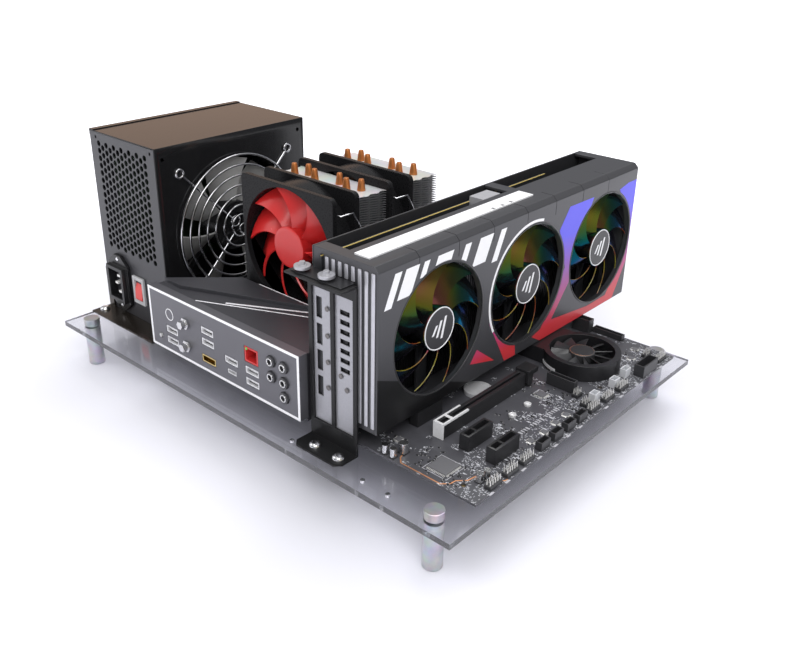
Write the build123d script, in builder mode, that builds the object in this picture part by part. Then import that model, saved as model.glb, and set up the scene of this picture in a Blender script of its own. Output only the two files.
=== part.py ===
from build123d import *
from math import cos, pi, radians, sin, tan
import os

# Open air test bench: a clear plate on turned feet that carries a power supply, a main board with its
# cooler, and a graphics card held by a folded slot frame. Millimetres, +Z up, the feet stand on Z = 0,
# the rear ports look towards -Y and the card's fans towards +X.

# Plate and feet
plate_depth = 290
plate_thick = 4
foot_diameter = 12.4
foot_sides = 10
stud_sides = 8
foot_post_height = 30
foot_cap_height = 5.8
stud_radius = 2.5
foot_inset_side = 21
foot_inset_edge = 12
stud_clearance = 0.1
spare_hole_diameter = 3.2
spare_hole_inset = 10.3
spare_hole_pitch = 20.32
spare_pair_inset = 64.7
lone_hole_inset = 137.3

# Main board
board_length = 305
board_depth = 244
board_thick = 1.6
board_right_margin = 5
board_front_margin = 29
standoff_height = 6
standoff_flats = 5.5
standoff_sides = 6
board_hole_diameter = 4
board_hole_sides = 6
hole_column_inset = 16.51
hole_column_steps = (0, 124.46, 281.94)
hole_row_inset = 10.16
hole_row_steps = (0, 154.94, 227.33)

# Card slots
slot_pitch = 20.32
slot_width = 7.5
slot_height = 11
slot_gap = 2
slot_gap_depth = 8
slot_end_wall = 2
slot_key = 2
slot_key_offset = 12
long_slot_length = 91
short_slot_length = 25
slot_front_inset = 38
armoured_slot_inset = 58.5
short_slot_steps = (-1, 1, 2)
card_slot_steps = 3
latch_radius = 3.2
latch_sides = 12
latch_width = 11
latch_reach = 9
latch_thumb = 6
latch_thumb_thick = 4
latch_clearance = 0.3

# Graphics card
card_length = 299.5
card_overhang = 37
card_thick = 53.6
card_height = 110
card_lift = 12.4
card_back_gap = 6.2
card_wall = 2.5
card_face_wall = 4.5
card_edge_chamfer = 3.5
card_board_thick = 1.6
card_board_length = 236
card_board_margin = 4
card_finger_reach = 7
card_finger_side = 0.6
card_fan_radius = 43.5
card_fan_pitch = 97.7
card_fan_end_margin = 3
card_fan_drop = 3.5
card_hub_radius = 15
card_hub_depth = 13
card_blade_count = 11
card_tip_clearance = 1
card_back_thick = 1.5
card_boss_side = 6
card_boss_pitch_y = 165
card_boss_pitch_z = 66
card_fin_count = 14
card_fin_thick = 1
card_fin_reach = 20
card_fin_base = 3
card_fin_end_gap = 7.5
card_fin_foot_gap = 5
card_fin_head_gap = 11
card_chip_side = 40
card_chip_thick = 2
card_strip_width = 12
card_strip_length = 165
card_strip_thick = 1.2
card_strip_inset = 12.6
card_strip_start = 6
end_bar_count = 8
end_bar_pitch = 5.3
end_bar_width = 2.7
end_bar_stand = 1
end_bar_margin = 2
end_bar_top_margin = 4
card_bracket_thick = 0.8
card_bracket_width = 35
card_tab_reach = 11
card_tab_left = 7
card_bracket_lift = 4
vent_rows = 7
vent_pitch = 6.4
vent_width = 8
vent_height = 3.2
vent_middle = 76
display_pitch = 18
display_width = 5
display_height = 14
display_offset = 3
display_middle = 65.4
power_socket_width = 12
power_socket_length = 20
power_socket_fin_gap = 0.5
power_socket_end_gap = 8
card_hub_inset = 0.5
carrier_thick = 2.4
carrier_width = 10
well_width = 20
well_margin = 10
near_well_length = 158
far_well_length = 112

# Slot frame
frame_sheet = 1.5
frame_side_margin = 1
frame_width = 41
frame_height = 116
frame_foot_reach = 17
frame_flange_reach = 12
frame_flange_left = 7
frame_foot_corner = 4
window_width = 15.6
window_pitch = 18.8
window_bottom = 13.5
window_top = 106
thumb_head_radius = 5.3
thumb_sides = 8
thumb_head_height = 3
thumb_neck_radius = 3
thumb_neck_height = 2.5
thumb_shift = 8.7
thumb_inset = 5

# Power supply
psu_width = 86
psu_main_gap = 4
psu_depth = 145
psu_height = 150
psu_sheet = 1
psu_front_margin = 43.5
psu_bracket_sheet = 1.5
psu_bracket_reach = 18.5
psu_tab_width = 7
psu_tab_height = 36
grille_pitch = 11.4
grille_hole_radius = 5.2
grille_hole_sides = 6
grille_columns = 6
grille_rows = 7
grille_left = 18
grille_bottom = 62
inlet_x = 22
inlet_z = 28
inlet_ear_reach = 24
inlet_ear_width = 9
inlet_flange_width = 27
inlet_flange_height = 33
inlet_flange_thick = 3
inlet_rim_width = 23
inlet_rim_height = 30
inlet_rim_stand = 4
inlet_body_width = 20
inlet_body_height = 27
inlet_body_depth = 16
inlet_mouth_width = 16.4
inlet_mouth_height = 24
inlet_mouth_depth = 17
inlet_pin_width = 2
inlet_pin_height = 4
inlet_pin_recess = 6
inlet_pin_places = ((-2, 0), (2, 7), (2, -7))
panel_clearance = 0.2
switch_x = 47.5
switch_bezel_width = 15
switch_bezel_height = 23
switch_bezel_thick = 2
switch_body_width = 12.4
switch_body_height = 19.4
switch_body_depth = 13
switch_wall = 1.2
rocker_clearance = 0.4
rocker_radius = 8
rocker_sides = 20
rocker_tilt = 12
rocker_vee = 8
psu_fan_size = 120
psu_fan_depth = 25
psu_fan_bore = 57.5
opening_sides = 24
psu_fan_hub_radius = 20
psu_blade_count = 7
guard_wire = 1.8
guard_weld = 0.05
guard_inner_radius = 9
guard_ring_step = 8.1
guard_ring_count = 7
guard_ring_sides = 12
guard_arm_reach = 76
psu_board_gap = 6
psu_board_depth = 116
psu_board_height = 105
psu_post_side = 6
psu_post_pitch = 100
psu_transformer_size = (26, 36, 40)
psu_heatsink_size = (28, 6, 50)
psu_coil_size = (24, 26, 26)
psu_side_row = 38
psu_heatsink_rise = 20
psu_coil_drop = 30

# Rear ports
shield_height = 47
shield_sheet = 1
shield_lip = 6
shield_card_gap = 3
shield_stand = 12.2
shield_lift = 3.4
port_width = 13.2
port_height = 5.2
port_depth = 10
port_wall = 1.2
port_tongue = 1.8
housing_depth = 22
cutout_margin = 0.3
jack_radius = 4.2
jack_sides = 8
small_sides = 6
jack_bore_radius = 1.8
jack_stand = 1.6
antenna_radius = 3.2
antenna_stand = 6
antenna_flats = 8
antenna_nut_thick = 2
button_radius = 1.6
button_stand = 0.8
button_root = 3
button_travel = 0.6
button_switch_gap = 0.1
button_switch_width = 6
button_switch_depth = 11
button_switch_height = 20
cover_wall = 2
cover_depth = 47
cover_ridge = 3
cover_cut = 42
cover_shoulder_depth = 6
crease_start = 21

# Places of the rear ports: steps from column to column along the port plate, rows from its foot
button_inset = 11.6
usb_step = 14.2
antenna_step = 18.4
video_step = 24
small_port_step = 25.3
lan_step = 21.7
jack_step = 20.2
jack_pitch = 12.2
jack_inset = 14.4
button_row = 10
low_row = 9.6
second_row = 18.2
video_usb_rows = (22.9, 31.6)
lan_row = 30.2
lan_size = (13.6, 11.4)
video_size = (15, 5.6)
small_port_size = (9, 3.4)
jack_rows = (33.9, 22.7, 11.9)
antenna_rows = (30.4, 12.5)
low_housing_top = 24
video_housing_top = 36.5
lan_housing_top = 38

# Cooler
cooler_x = 101.6
cooler_y = 111.7
socket_side = 40
socket_height = 7
cooler_base_length = 74
cooler_base_width = 44
cooler_base_height = 9
pipe_radius = 3
pipe_spread = (-31, -21.5, -10, 10, 21.5, 31)
pipe_stagger = 2.5
pipe_bend = 9
tip_height = 8
tip_taper = 10
tip_sides = 6
fin_width = 86
fin_depth = 29.5
fin_thick = 1.2
fin_count = 18
fin_bottom = 38
fin_top = 126
fin_side_wall = 1.2
fan_size = 92
fan_depth = 25
fan_bore = 43.5
fan_flange = 4
fan_lift = 40
fan_hub_radius = 15
fan_blade_count = 9
fan_barrel_wall = 1
fan_barrel_sides = 18
hub_sides = 16
fan_base_thick = 3
fan_base_sides = 12
fan_strut = 5
fan_tip_clearance = 1.5
hub_seat_gap = 0.4
hub_front_inset = 1
blade_root_sink = 3
clip_wire = 1.4
clip_end_margin = 12
clip_front_inset = 6
clip_hold = 10

# Blades: span at the root and at the tip, sweep and pitch in degrees, thickness
psu_blade_shape = (40, 44, 14, 21, 1.5)
cooler_blade_shape = (28, 36, 18, 30, 1.4)
card_blade_shape = (25, 30, 16, 20, 1.2)
chipset_blade_shape = (14, 18, 6, 40, 0.8)

# Memory, coin cell and power stage
memory_side_inset = 5
memory_front_inset = 160
memory_pitch = 9.5
memory_count = 4
memory_slot_length = 142
memory_slot_width = 6.5
memory_slot_height = 8
memory_latch = 4
memory_latch_height = 18
memory_module_length = 133
memory_module_thick = 3
memory_module_height = 34
memory_play = 0.2
memory_seat = 5
coin_cell_inset_x = 74.5
coin_cell_inset_y = 101
coin_cell_radius = 10
coin_cell_sides = 16
coin_cell_height = 3.2
power_sink_inset = 15
power_sink_width = 18
power_sink_base = 14
power_sink_height = 28
power_sink_length = 76
power_fin_pitch = 5
power_fin_thick = 2.4
power_fin_count = 4

# Small board parts: inset from the board's right edge and front edge, then their sizes
capacitor_sides = 8
capacitor_spots = ((71.5, 3, 2.2, 6.5), (65, 3, 2.2, 6.5), (63.5, 11, 2.9, 7.5), (11.4, 19, 2.4, 6.5))
board_blocks = (
    (35.8, 15.9, 16, 16, 1.4),
    (40.5, 128, 9, 9, 1.2),
    (36, 146, 22, 5, 9),
    (3.5, 21.5, 5, 12, 8),
    (3.5, 38.5, 5, 12, 8),
    (3.5, 55.5, 5, 12, 8),
    (4.5, 74.5, 5, 10, 6),
    (4.5, 89.5, 5, 10, 6),
    (4.5, 104.5, 5, 10, 6),
    (4.5, 118.5, 5, 10, 6),
    (4.7, 135.5, 5, 12, 8),
    (4.7, 154.5, 5, 12, 8),
    (4.7, 174, 5, 12, 8),
    (10.6, 146.5, 5, 7, 9),
    (10.6, 173.5, 5, 7, 9),
    (12.2, 192, 5, 7, 9),
    (4.5, 207.8, 8, 21, 9),
    (5, 231.5, 6, 12, 8),
    (15, 229.5, 6, 9, 8),
    (73.5, 236, 15, 7, 11),
    (53, 241, 25, 5, 4.5),
)
main_power_inset = (75, 7)
main_power_size = (52, 9, 13)
side_power_inset = (7, 24)
side_power_size = (9, 19, 13)

# Chipset fan
chipset_x = 45
chipset_y = 186.5
chipset_radius = 28
chipset_sides = 20
chipset_bore = 23.5
chipset_height = 12
chipset_floor = 3
chipset_hub_radius = 9.5
chipset_blade_count = 11
chipset_wing_length = 46
chipset_wing_width = 40

# Places worked out from the sizes above
plate_length = psu_width + psu_main_gap + board_length + board_right_margin
plate_left = -plate_length / 2
plate_right = plate_length / 2
plate_front = -(plate_depth + card_overhang) / 2
plate_back = plate_front + plate_depth
plate_top = foot_post_height + plate_thick
board_right = plate_right - board_right_margin
board_left = board_right - board_length
board_front = plate_front + board_front_margin
board_back = board_front + board_depth
board_top = plate_top + standoff_height + board_thick
slot_top = board_top + slot_height
card_back = plate_back + card_overhang
card_front = card_back - card_length
card_bottom = board_top + card_lift
card_top = card_bottom + card_height
armoured_slot_x = board_right - armoured_slot_inset
graphics_slot_x = armoured_slot_x - card_slot_steps * slot_pitch
card_left = graphics_slot_x - card_board_thick / 2 - card_back_gap - card_back_thick
card_right = card_left + card_thick
bracket_back = card_front - end_bar_stand - latch_clearance
bracket_front = bracket_back - card_bracket_thick
upright_front = bracket_front - frame_sheet
frame_left = card_left - frame_side_margin
psu_left = plate_left
psu_right = psu_left + psu_width
psu_front = plate_front + psu_front_margin
psu_back = psu_front + psu_depth
psu_top = plate_top + psu_height
left_usb_column = button_inset + usb_step
antenna_column = left_usb_column + antenna_step
video_column = antenna_column + video_step
small_port_column = video_column + small_port_step
lan_column = small_port_column + lan_step
jack_columns = (lan_column + jack_step, lan_column + jack_step + jack_pitch)
button_place = (button_inset, button_row)
shield_length = jack_columns[1] + jack_inset
shield_right = card_left - shield_card_gap
shield_left = shield_right - shield_length
shield_bottom = board_top + shield_lift
shield_back = board_front - shield_stand + shield_sheet
shield_front = board_front - shield_stand
cpu_x = board_left + cooler_x
cpu_y = board_front + cooler_y
chipset_centre = (board_right - chipset_x, board_front + chipset_y)

os.makedirs("parts", exist_ok=True)


# Forms that several pieces share
def fan_blade(root_radius, tip_radius, root_span, tip_span, sweep, pitch, thick):
    """One blade: a swept outline pitched about the radius it stands on."""
    outline = []
    for radius, angle in (
        (root_radius, (root_span - sweep) / 2),
        (tip_radius, (tip_span + sweep) / 2),
        (tip_radius, (sweep - tip_span) / 2),
        (root_radius, -(root_span + sweep) / 2),
    ):
        outline.append((radius * cos(radians(angle)), radius * sin(radians(angle))))
    with BuildPart() as blade:
        with BuildSketch(Plane.XY.rotated((pitch, 0, 0))):
            with BuildLine():
                Polyline(*outline, close=True)
            make_face()
        extrude(amount=thick / 2, both=True)
    return blade.part


def fan_rotor(plane, hub_radius, hub_depth, blade, blade_count):
    """A hub with its ring of blades, centred on the plane and turning about its normal."""
    with BuildPart() as rotor:
        with BuildSketch():
            RegularPolygon(hub_radius, hub_sides)
        extrude(amount=hub_depth / 2, both=True)
        with PolarLocations(0, blade_count):
            add(blade)
    return rotor.part.moved(plane.location)


def fan_frame(plane, size, depth, bore, base_radius):
    """A square fan frame: two flanges on a barrel, and a motor base on four struts at the back."""
    with BuildPart() as frame:
        for flange_start in (0, depth - fan_flange):
            with BuildSketch(Plane.XY.offset(flange_start)):
                Rectangle(size, size)
            extrude(amount=fan_flange)
        with BuildSketch():
            RegularPolygon(bore + fan_barrel_wall, fan_barrel_sides, major_radius=False)
        extrude(amount=depth)
        with BuildSketch():
            RegularPolygon(bore, fan_barrel_sides, major_radius=False)
        extrude(amount=depth, mode=Mode.SUBTRACT)
        with BuildSketch(Plane.XY.offset(depth - fan_base_thick)):
            RegularPolygon(base_radius, fan_base_sides)
            with PolarLocations(0, 4, start_angle=45):
                Rectangle(bore + fan_barrel_wall / 2, fan_strut, align=(Align.MIN, Align.CENTER))
        extrude(amount=fan_base_thick)
    return frame.part.moved(plane.location)


def slot_body(x, length):
    """A card slot on the board: a long socket with a keyed gap along its top."""
    front = board_front + slot_front_inset
    with BuildPart() as slot:
        with Locations((x, front + length / 2, board_top)):
            Box(slot_width, length, slot_height, align=(Align.CENTER, Align.CENTER, Align.MIN))
        near = front + slot_end_wall
        key = front + slot_key_offset
        far = front + length - slot_end_wall
        for start, end in ((near, key), (key + slot_key, far)):
            with Locations((x, start, slot_top)):
                Box(
                    slot_gap,
                    end - start,
                    slot_gap_depth,
                    align=(Align.CENTER, Align.MIN, Align.MAX),
                    mode=Mode.SUBTRACT,
                )
    return slot.part


# Clear base plate with the stud holes of the feet and the bare accessory holes
plate_middle = (plate_front + plate_back) / 2
foot_places = [
    (side * (plate_right - foot_inset_side), edge)
    for side in (-1, 1)
    for edge in (plate_front + foot_inset_edge, plate_back - foot_inset_edge)
]
pair_right = plate_right - spare_pair_inset + spare_hole_pitch / 2
pair_places = [
    (pair_right, plate_front + spare_hole_inset),
    (pair_right - spare_hole_pitch, plate_front + spare_hole_inset),
]
lone_place = (plate_right - lone_hole_inset, plate_front + spare_hole_inset)
with BuildPart() as base_plate:
    with BuildSketch(Plane.XY.offset(foot_post_height)):
        with Locations((0, plate_middle)):
            Rectangle(plate_length, plate_depth)
        with Locations(*foot_places):
            RegularPolygon(stud_radius + stud_clearance, stud_sides, major_radius=False, mode=Mode.SUBTRACT)
        with Locations(*pair_places):
            Circle(spare_hole_diameter / 2, mode=Mode.SUBTRACT)
        with Locations(lone_place):
            RegularPolygon(spare_hole_diameter / 2, stud_sides, mode=Mode.SUBTRACT)
    extrude(amount=plate_thick)
base_plate.part.label = "base_plate"
export_step(base_plate.part, "parts/base_plate.step")

# Turned foot posts under the plate
with BuildPart() as foot_posts:
    with BuildSketch():
        with Locations(*foot_places):
            RegularPolygon(foot_diameter / 2, foot_sides)
    extrude(amount=foot_post_height)
foot_posts.part.label = "foot_posts"
export_step(foot_posts.part, "parts/foot_posts.step")

# Foot caps on the plate, each with the stud that goes down to its post
with BuildPart() as foot_caps:
    with BuildSketch(Plane.XY.offset(plate_top)):
        with Locations(*foot_places):
            RegularPolygon(foot_diameter / 2, foot_sides)
    extrude(amount=foot_cap_height)
    with BuildSketch(Plane.XY.offset(plate_top)):
        with Locations(*foot_places):
            RegularPolygon(stud_radius, stud_sides, major_radius=False)
    extrude(amount=-plate_thick)
foot_caps.part.label = "foot_caps"
export_step(foot_caps.part, "parts/foot_caps.step")

# Hexagonal standoffs under the mounting holes of the board
board_holes = [
    (board_right - hole_column_inset - column, board_front + hole_row_inset + row)
    for column in hole_column_steps
    for row in hole_row_steps
]
with BuildPart() as board_standoffs:
    with BuildSketch(Plane.XY.offset(plate_top)):
        with Locations(*board_holes):
            RegularPolygon(standoff_flats / 2, standoff_sides, major_radius=False)
    extrude(amount=standoff_height)
board_standoffs.part.label = "board_standoffs"
export_step(board_standoffs.part, "parts/board_standoffs.step")

# Slot frame folded from black sheet: foot, windowed upright and a top flange bent outwards
frame_top = plate_top + frame_height
with BuildPart() as slot_frame:
    with BuildSketch(Plane.YZ.offset(frame_left)):
        with BuildLine():
            Polyline(
                (upright_front - frame_foot_reach, plate_top),
                (bracket_front, plate_top),
                (bracket_front, frame_top),
                (upright_front - frame_flange_reach, frame_top),
                (upright_front - frame_flange_reach, frame_top - frame_sheet),
                (upright_front, frame_top - frame_sheet),
                (upright_front, plate_top + frame_sheet),
                (upright_front - frame_foot_reach, plate_top + frame_sheet),
                close=True,
            )
        make_face()
    extrude(amount=frame_width)
    chamfer(slot_frame.edges().filter_by(Axis.Z).group_by(Axis.Y)[0], frame_foot_corner)
    with Locations((frame_left, upright_front, frame_top)):
        Box(
            frame_flange_left,
            frame_flange_reach,
            frame_sheet,
            align=(Align.MAX, Align.MAX, Align.MAX),
        )
    window_middle = plate_top + (window_bottom + window_top) / 2
    with Locations((frame_left + frame_width / 2, upright_front, window_middle)):
        with GridLocations(window_pitch, 0, 2, 1):
            Box(
                window_width,
                2 * frame_sheet,
                window_top - window_bottom,
                align=(Align.CENTER, Align.CENTER, Align.CENTER),
                mode=Mode.SUBTRACT,
            )
slot_frame.part.label = "slot_frame"
export_step(slot_frame.part, "parts/slot_frame.step")

# Folded bracket in front of the power supply, with its upright tab
with BuildPart() as psu_bracket:
    with Locations((psu_left, psu_front, plate_top)):
        Box(
            psu_width,
            psu_bracket_reach,
            psu_bracket_sheet,
            align=(Align.MIN, Align.MAX, Align.MIN),
        )
        Box(
            psu_tab_width,
            psu_bracket_sheet,
            psu_tab_height,
            align=(Align.MIN, Align.MAX, Align.MIN),
        )
psu_bracket.part.label = "psu_bracket"
export_step(psu_bracket.part, "parts/psu_bracket.step")

# Power supply tray: honeycomb front panel, blind side and back, folded as one sheet
panel_plane = Plane.XZ.offset(-psu_front)
inlet_place = (psu_left + inlet_x, plate_top + inlet_z)
switch_place = (psu_left + switch_x, plate_top + inlet_z)
tray_height = psu_height - 2 * psu_sheet
column_pitch = grille_pitch * cos(pi / 6)
with BuildPart() as psu_tray:
    with BuildSketch(Plane.XY.offset(plate_top + psu_sheet)):
        with BuildLine():
            Polyline(
                (psu_right - psu_sheet, psu_front),
                (psu_left, psu_front),
                (psu_left, psu_back),
                (psu_right - psu_sheet, psu_back),
                (psu_right - psu_sheet, psu_back - psu_sheet),
                (psu_left + psu_sheet, psu_back - psu_sheet),
                (psu_left + psu_sheet, psu_front + psu_sheet),
                (psu_right - psu_sheet, psu_front + psu_sheet),
                close=True,
            )
        make_face()
    extrude(amount=tray_height)
    with BuildSketch(panel_plane):
        for column in range(grille_columns):
            rise = grille_pitch / 2 * (column % 2)
            for row in range(grille_rows - column % 2):
                across = psu_left + grille_left + column * column_pitch
                up = plate_top + grille_bottom + rise + row * grille_pitch
                with Locations((across, up)):
                    RegularPolygon(grille_hole_radius, grille_hole_sides)
        with Locations(inlet_place):
            Rectangle(inlet_body_width + 2 * panel_clearance, inlet_body_height + 2 * panel_clearance)
        with Locations(switch_place):
            Rectangle(switch_body_width + 2 * panel_clearance, switch_body_height + 2 * panel_clearance)
    extrude(amount=-psu_sheet, mode=Mode.SUBTRACT)
    with Locations((psu_left + psu_sheet, psu_front + psu_depth / 2, plate_top + psu_height / 2)):
        with GridLocations(0, psu_post_pitch, 1, 2):
            Box(
                psu_board_gap,
                psu_post_side,
                psu_post_side,
                align=(Align.MIN, Align.CENTER, Align.CENTER),
            )
psu_tray.part.label = "psu_tray"
export_step(psu_tray.part, "parts/psu_tray.step")

# Power supply cover: fan side, top and bottom folded round the tray
psu_fan_y = psu_front + psu_depth / 2
psu_fan_z = plate_top + psu_height / 2
with BuildPart() as psu_cover:
    with BuildSketch(Plane.XZ.offset(-psu_back)):
        with BuildLine():
            Polyline(
                (psu_left, psu_top),
                (psu_right, psu_top),
                (psu_right, plate_top),
                (psu_left, plate_top),
                (psu_left, plate_top + psu_sheet),
                (psu_right - psu_sheet, plate_top + psu_sheet),
                (psu_right - psu_sheet, psu_top - psu_sheet),
                (psu_left, psu_top - psu_sheet),
                close=True,
            )
        make_face()
    extrude(amount=psu_depth)
    with BuildSketch(Plane.YZ.offset(psu_right)):
        with Locations((psu_fan_y, psu_fan_z)):
            RegularPolygon(psu_fan_bore, opening_sides, major_radius=False)
    extrude(amount=-psu_sheet, mode=Mode.SUBTRACT)
psu_cover.part.label = "psu_cover"
export_step(psu_cover.part, "parts/psu_cover.step")

# Power supply fan behind the round opening of the cover
psu_fan_face = Plane(
    origin=(psu_right - psu_sheet, psu_fan_y, psu_fan_z), x_dir=(0, 1, 0), z_dir=(-1, 0, 0)
)
psu_fan_part = fan_frame(
    psu_fan_face, psu_fan_size, psu_fan_depth, psu_fan_bore, psu_fan_hub_radius
)
psu_fan_part.label = "psu_fan_frame"
export_step(psu_fan_part, "parts/psu_fan_frame.step")

psu_hub_depth = psu_fan_depth - fan_base_thick - hub_seat_gap - hub_front_inset
psu_blade = fan_blade(
    psu_fan_hub_radius - blade_root_sink, psu_fan_bore - fan_tip_clearance, *psu_blade_shape
)
psu_rotor_part = fan_rotor(
    psu_fan_face.offset(hub_front_inset + psu_hub_depth / 2),
    psu_fan_hub_radius,
    psu_hub_depth,
    psu_blade,
    psu_blade_count,
)
psu_rotor_part.label = "psu_rotor"
export_step(psu_rotor_part, "parts/psu_rotor.step")

# Wire guard over the fan opening: rings welded on four arms that end at the fan's corners
guard_arm_inner = guard_inner_radius - guard_wire
with BuildPart() as psu_guard:
    with BuildSketch(Plane.YZ.offset(psu_right)):
        with Locations((psu_fan_y, psu_fan_z)):
            with PolarLocations(guard_arm_inner, 4, start_angle=45):
                Rectangle(
                    guard_arm_reach - guard_arm_inner, guard_wire, align=(Align.MIN, Align.CENTER)
                )
    extrude(amount=guard_wire)
    with BuildSketch(Plane.YZ.offset(psu_right + guard_wire + guard_weld)):
        with Locations((psu_fan_y, psu_fan_z)):
            for ring in reversed(range(guard_ring_count)):
                ring_radius = guard_inner_radius + ring * guard_ring_step
                RegularPolygon(ring_radius + guard_wire / 2, guard_ring_sides)
                RegularPolygon(ring_radius - guard_wire / 2, guard_ring_sides, mode=Mode.SUBTRACT)
    extrude(amount=guard_wire)
psu_guard.part.label = "psu_guard"
export_step(psu_guard.part, "parts/psu_guard.step")

# Mains inlet: flange with screw ears, a rim round the mouth and a body behind the panel
with BuildPart() as psu_inlet:
    with BuildSketch(panel_plane):
        with Locations(inlet_place):
            Rectangle(inlet_flange_width, inlet_flange_height)
            Rectangle(inlet_ear_width, 2 * inlet_ear_reach)
        make_hull()
    extrude(amount=inlet_flange_thick)
    with BuildSketch(panel_plane):
        with Locations(inlet_place):
            Rectangle(inlet_rim_width, inlet_rim_height)
    extrude(amount=inlet_flange_thick + inlet_rim_stand)
    with BuildSketch(panel_plane):
        with Locations(inlet_place):
            Rectangle(inlet_body_width, inlet_body_height)
    extrude(amount=-inlet_body_depth)
    with BuildSketch(panel_plane.offset(inlet_flange_thick + inlet_rim_stand)):
        with Locations(inlet_place):
            Rectangle(inlet_mouth_width, inlet_mouth_height)
    extrude(amount=-inlet_mouth_depth, mode=Mode.SUBTRACT)
psu_inlet.part.label = "psu_inlet"
export_step(psu_inlet.part, "parts/psu_inlet.step")

# Three contact pins that stand on the floor of the inlet's mouth
inlet_floor_plane = panel_plane.offset(inlet_flange_thick + inlet_rim_stand - inlet_mouth_depth)
with BuildPart() as psu_inlet_pins:
    with BuildSketch(inlet_floor_plane):
        with Locations(inlet_place):
            with Locations(*inlet_pin_places):
                Rectangle(inlet_pin_height, inlet_pin_width)
    extrude(amount=inlet_mouth_depth - inlet_pin_recess)
psu_inlet_pins.part.label = "psu_inlet_pins"
export_step(psu_inlet_pins.part, "parts/psu_inlet_pins.step")

# Switch housing snapped into the panel, open at the front for the rocker
switch_face_plane = panel_plane.offset(switch_bezel_thick)
switch_well_depth = switch_bezel_thick + switch_body_depth - switch_wall
with BuildPart() as psu_switch_bezel:
    with BuildSketch(panel_plane):
        with Locations(switch_place):
            Rectangle(switch_bezel_width, switch_bezel_height)
    extrude(amount=switch_bezel_thick)
    with BuildSketch(panel_plane):
        with Locations(switch_place):
            Rectangle(switch_body_width, switch_body_height)
    extrude(amount=-switch_body_depth)
    with BuildSketch(switch_face_plane):
        with Locations(switch_place):
            Rectangle(switch_body_width - 2 * switch_wall, 2 * (rocker_radius + rocker_clearance))
    extrude(amount=-switch_well_depth, mode=Mode.SUBTRACT)
psu_switch_bezel.part.label = "psu_switch_bezel"
export_step(psu_switch_bezel.part, "parts/psu_switch_bezel.step")

# Rocker: a round-bottomed paddle with a shallow V on its face, its upper half pressed in
rocker_width = switch_body_width - 2 * switch_wall - 2 * rocker_clearance
rocker_cut = 2 * rocker_radius
ridge_y = psu_front - switch_bezel_thick
ridge_z = switch_place[1]
upper_slope = radians(rocker_tilt + rocker_vee)
lower_slope = radians(rocker_tilt - rocker_vee)
with BuildPart() as psu_rocker:
    with BuildSketch(Plane.YZ.offset(switch_place[0] - rocker_width / 2)):
        with Locations((psu_front, ridge_z)):
            RegularPolygon(rocker_radius, rocker_sides)
        with BuildLine():
            Polyline(
                (ridge_y, ridge_z),
                (ridge_y + rocker_cut * sin(upper_slope), ridge_z + rocker_cut * cos(upper_slope)),
                (ridge_y - rocker_cut, ridge_z + rocker_cut * cos(upper_slope)),
                (ridge_y - rocker_cut, ridge_z - rocker_cut * cos(lower_slope)),
                (ridge_y - rocker_cut * sin(lower_slope), ridge_z - rocker_cut * cos(lower_slope)),
                close=True,
            )
        make_face(mode=Mode.SUBTRACT)
    extrude(amount=rocker_width)
psu_rocker.part.label = "psu_rocker"
export_step(psu_rocker.part, "parts/psu_rocker.step")

# Power supply circuit board on the tray's posts, with its transformer, heat sink and coil
psu_board_x = psu_left + psu_sheet + psu_board_gap
part_base = (Align.MIN, Align.CENTER, Align.CENTER)
with BuildPart() as psu_board:
    with Locations((psu_board_x, psu_fan_y, psu_fan_z)):
        Box(board_thick, psu_board_depth, psu_board_height, align=part_base)
        with Locations((board_thick, 0, 0)):
            Box(*psu_transformer_size, align=part_base)
            with Locations((0, psu_side_row, psu_heatsink_rise)):
                Box(*psu_heatsink_size, align=part_base)
            with Locations((0, psu_side_row, -psu_coil_drop)):
                Box(*psu_coil_size, align=part_base)
psu_board.part.label = "psu_board"
export_step(psu_board.part, "parts/psu_board.step")

# Main board with its nine mounting holes
with BuildPart() as motherboard:
    with BuildSketch(Plane.XY.offset(board_top - board_thick)):
        with Locations(((board_left + board_right) / 2, (board_front + board_back) / 2)):
            Rectangle(board_length, board_depth)
        with Locations(*board_holes):
            RegularPolygon(board_hole_diameter / 2, board_hole_sides, mode=Mode.SUBTRACT)
    extrude(amount=board_thick)
motherboard.part.label = "motherboard"
export_step(motherboard.part, "parts/motherboard.step")

# Openings of the rear ports on the port plate
port_plane = Plane(origin=(shield_left, shield_back, shield_bottom), x_dir=(1, 0, 0), z_dir=(0, -1, 0))
usb_places = [
    (left_usb_column, low_row),
    (left_usb_column, second_row),
    (video_column, video_usb_rows[0]),
    (video_column, video_usb_rows[1]),
    (small_port_column, second_row),
    (lan_column, low_row),
    (lan_column, second_row),
]
jack_places = [(column, row) for column in jack_columns for row in jack_rows[:2]]
jack_places.append((jack_columns[1], jack_rows[2]))
antenna_places = [(antenna_column, row) for row in antenna_rows]
cavities = [(place, (port_width, port_height)) for place in usb_places]
cavities.append(((lan_column, lan_row), lan_size))
cavities.append(((video_column, low_row), video_size))
cavities.append(((small_port_column, low_row), small_port_size))

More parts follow.
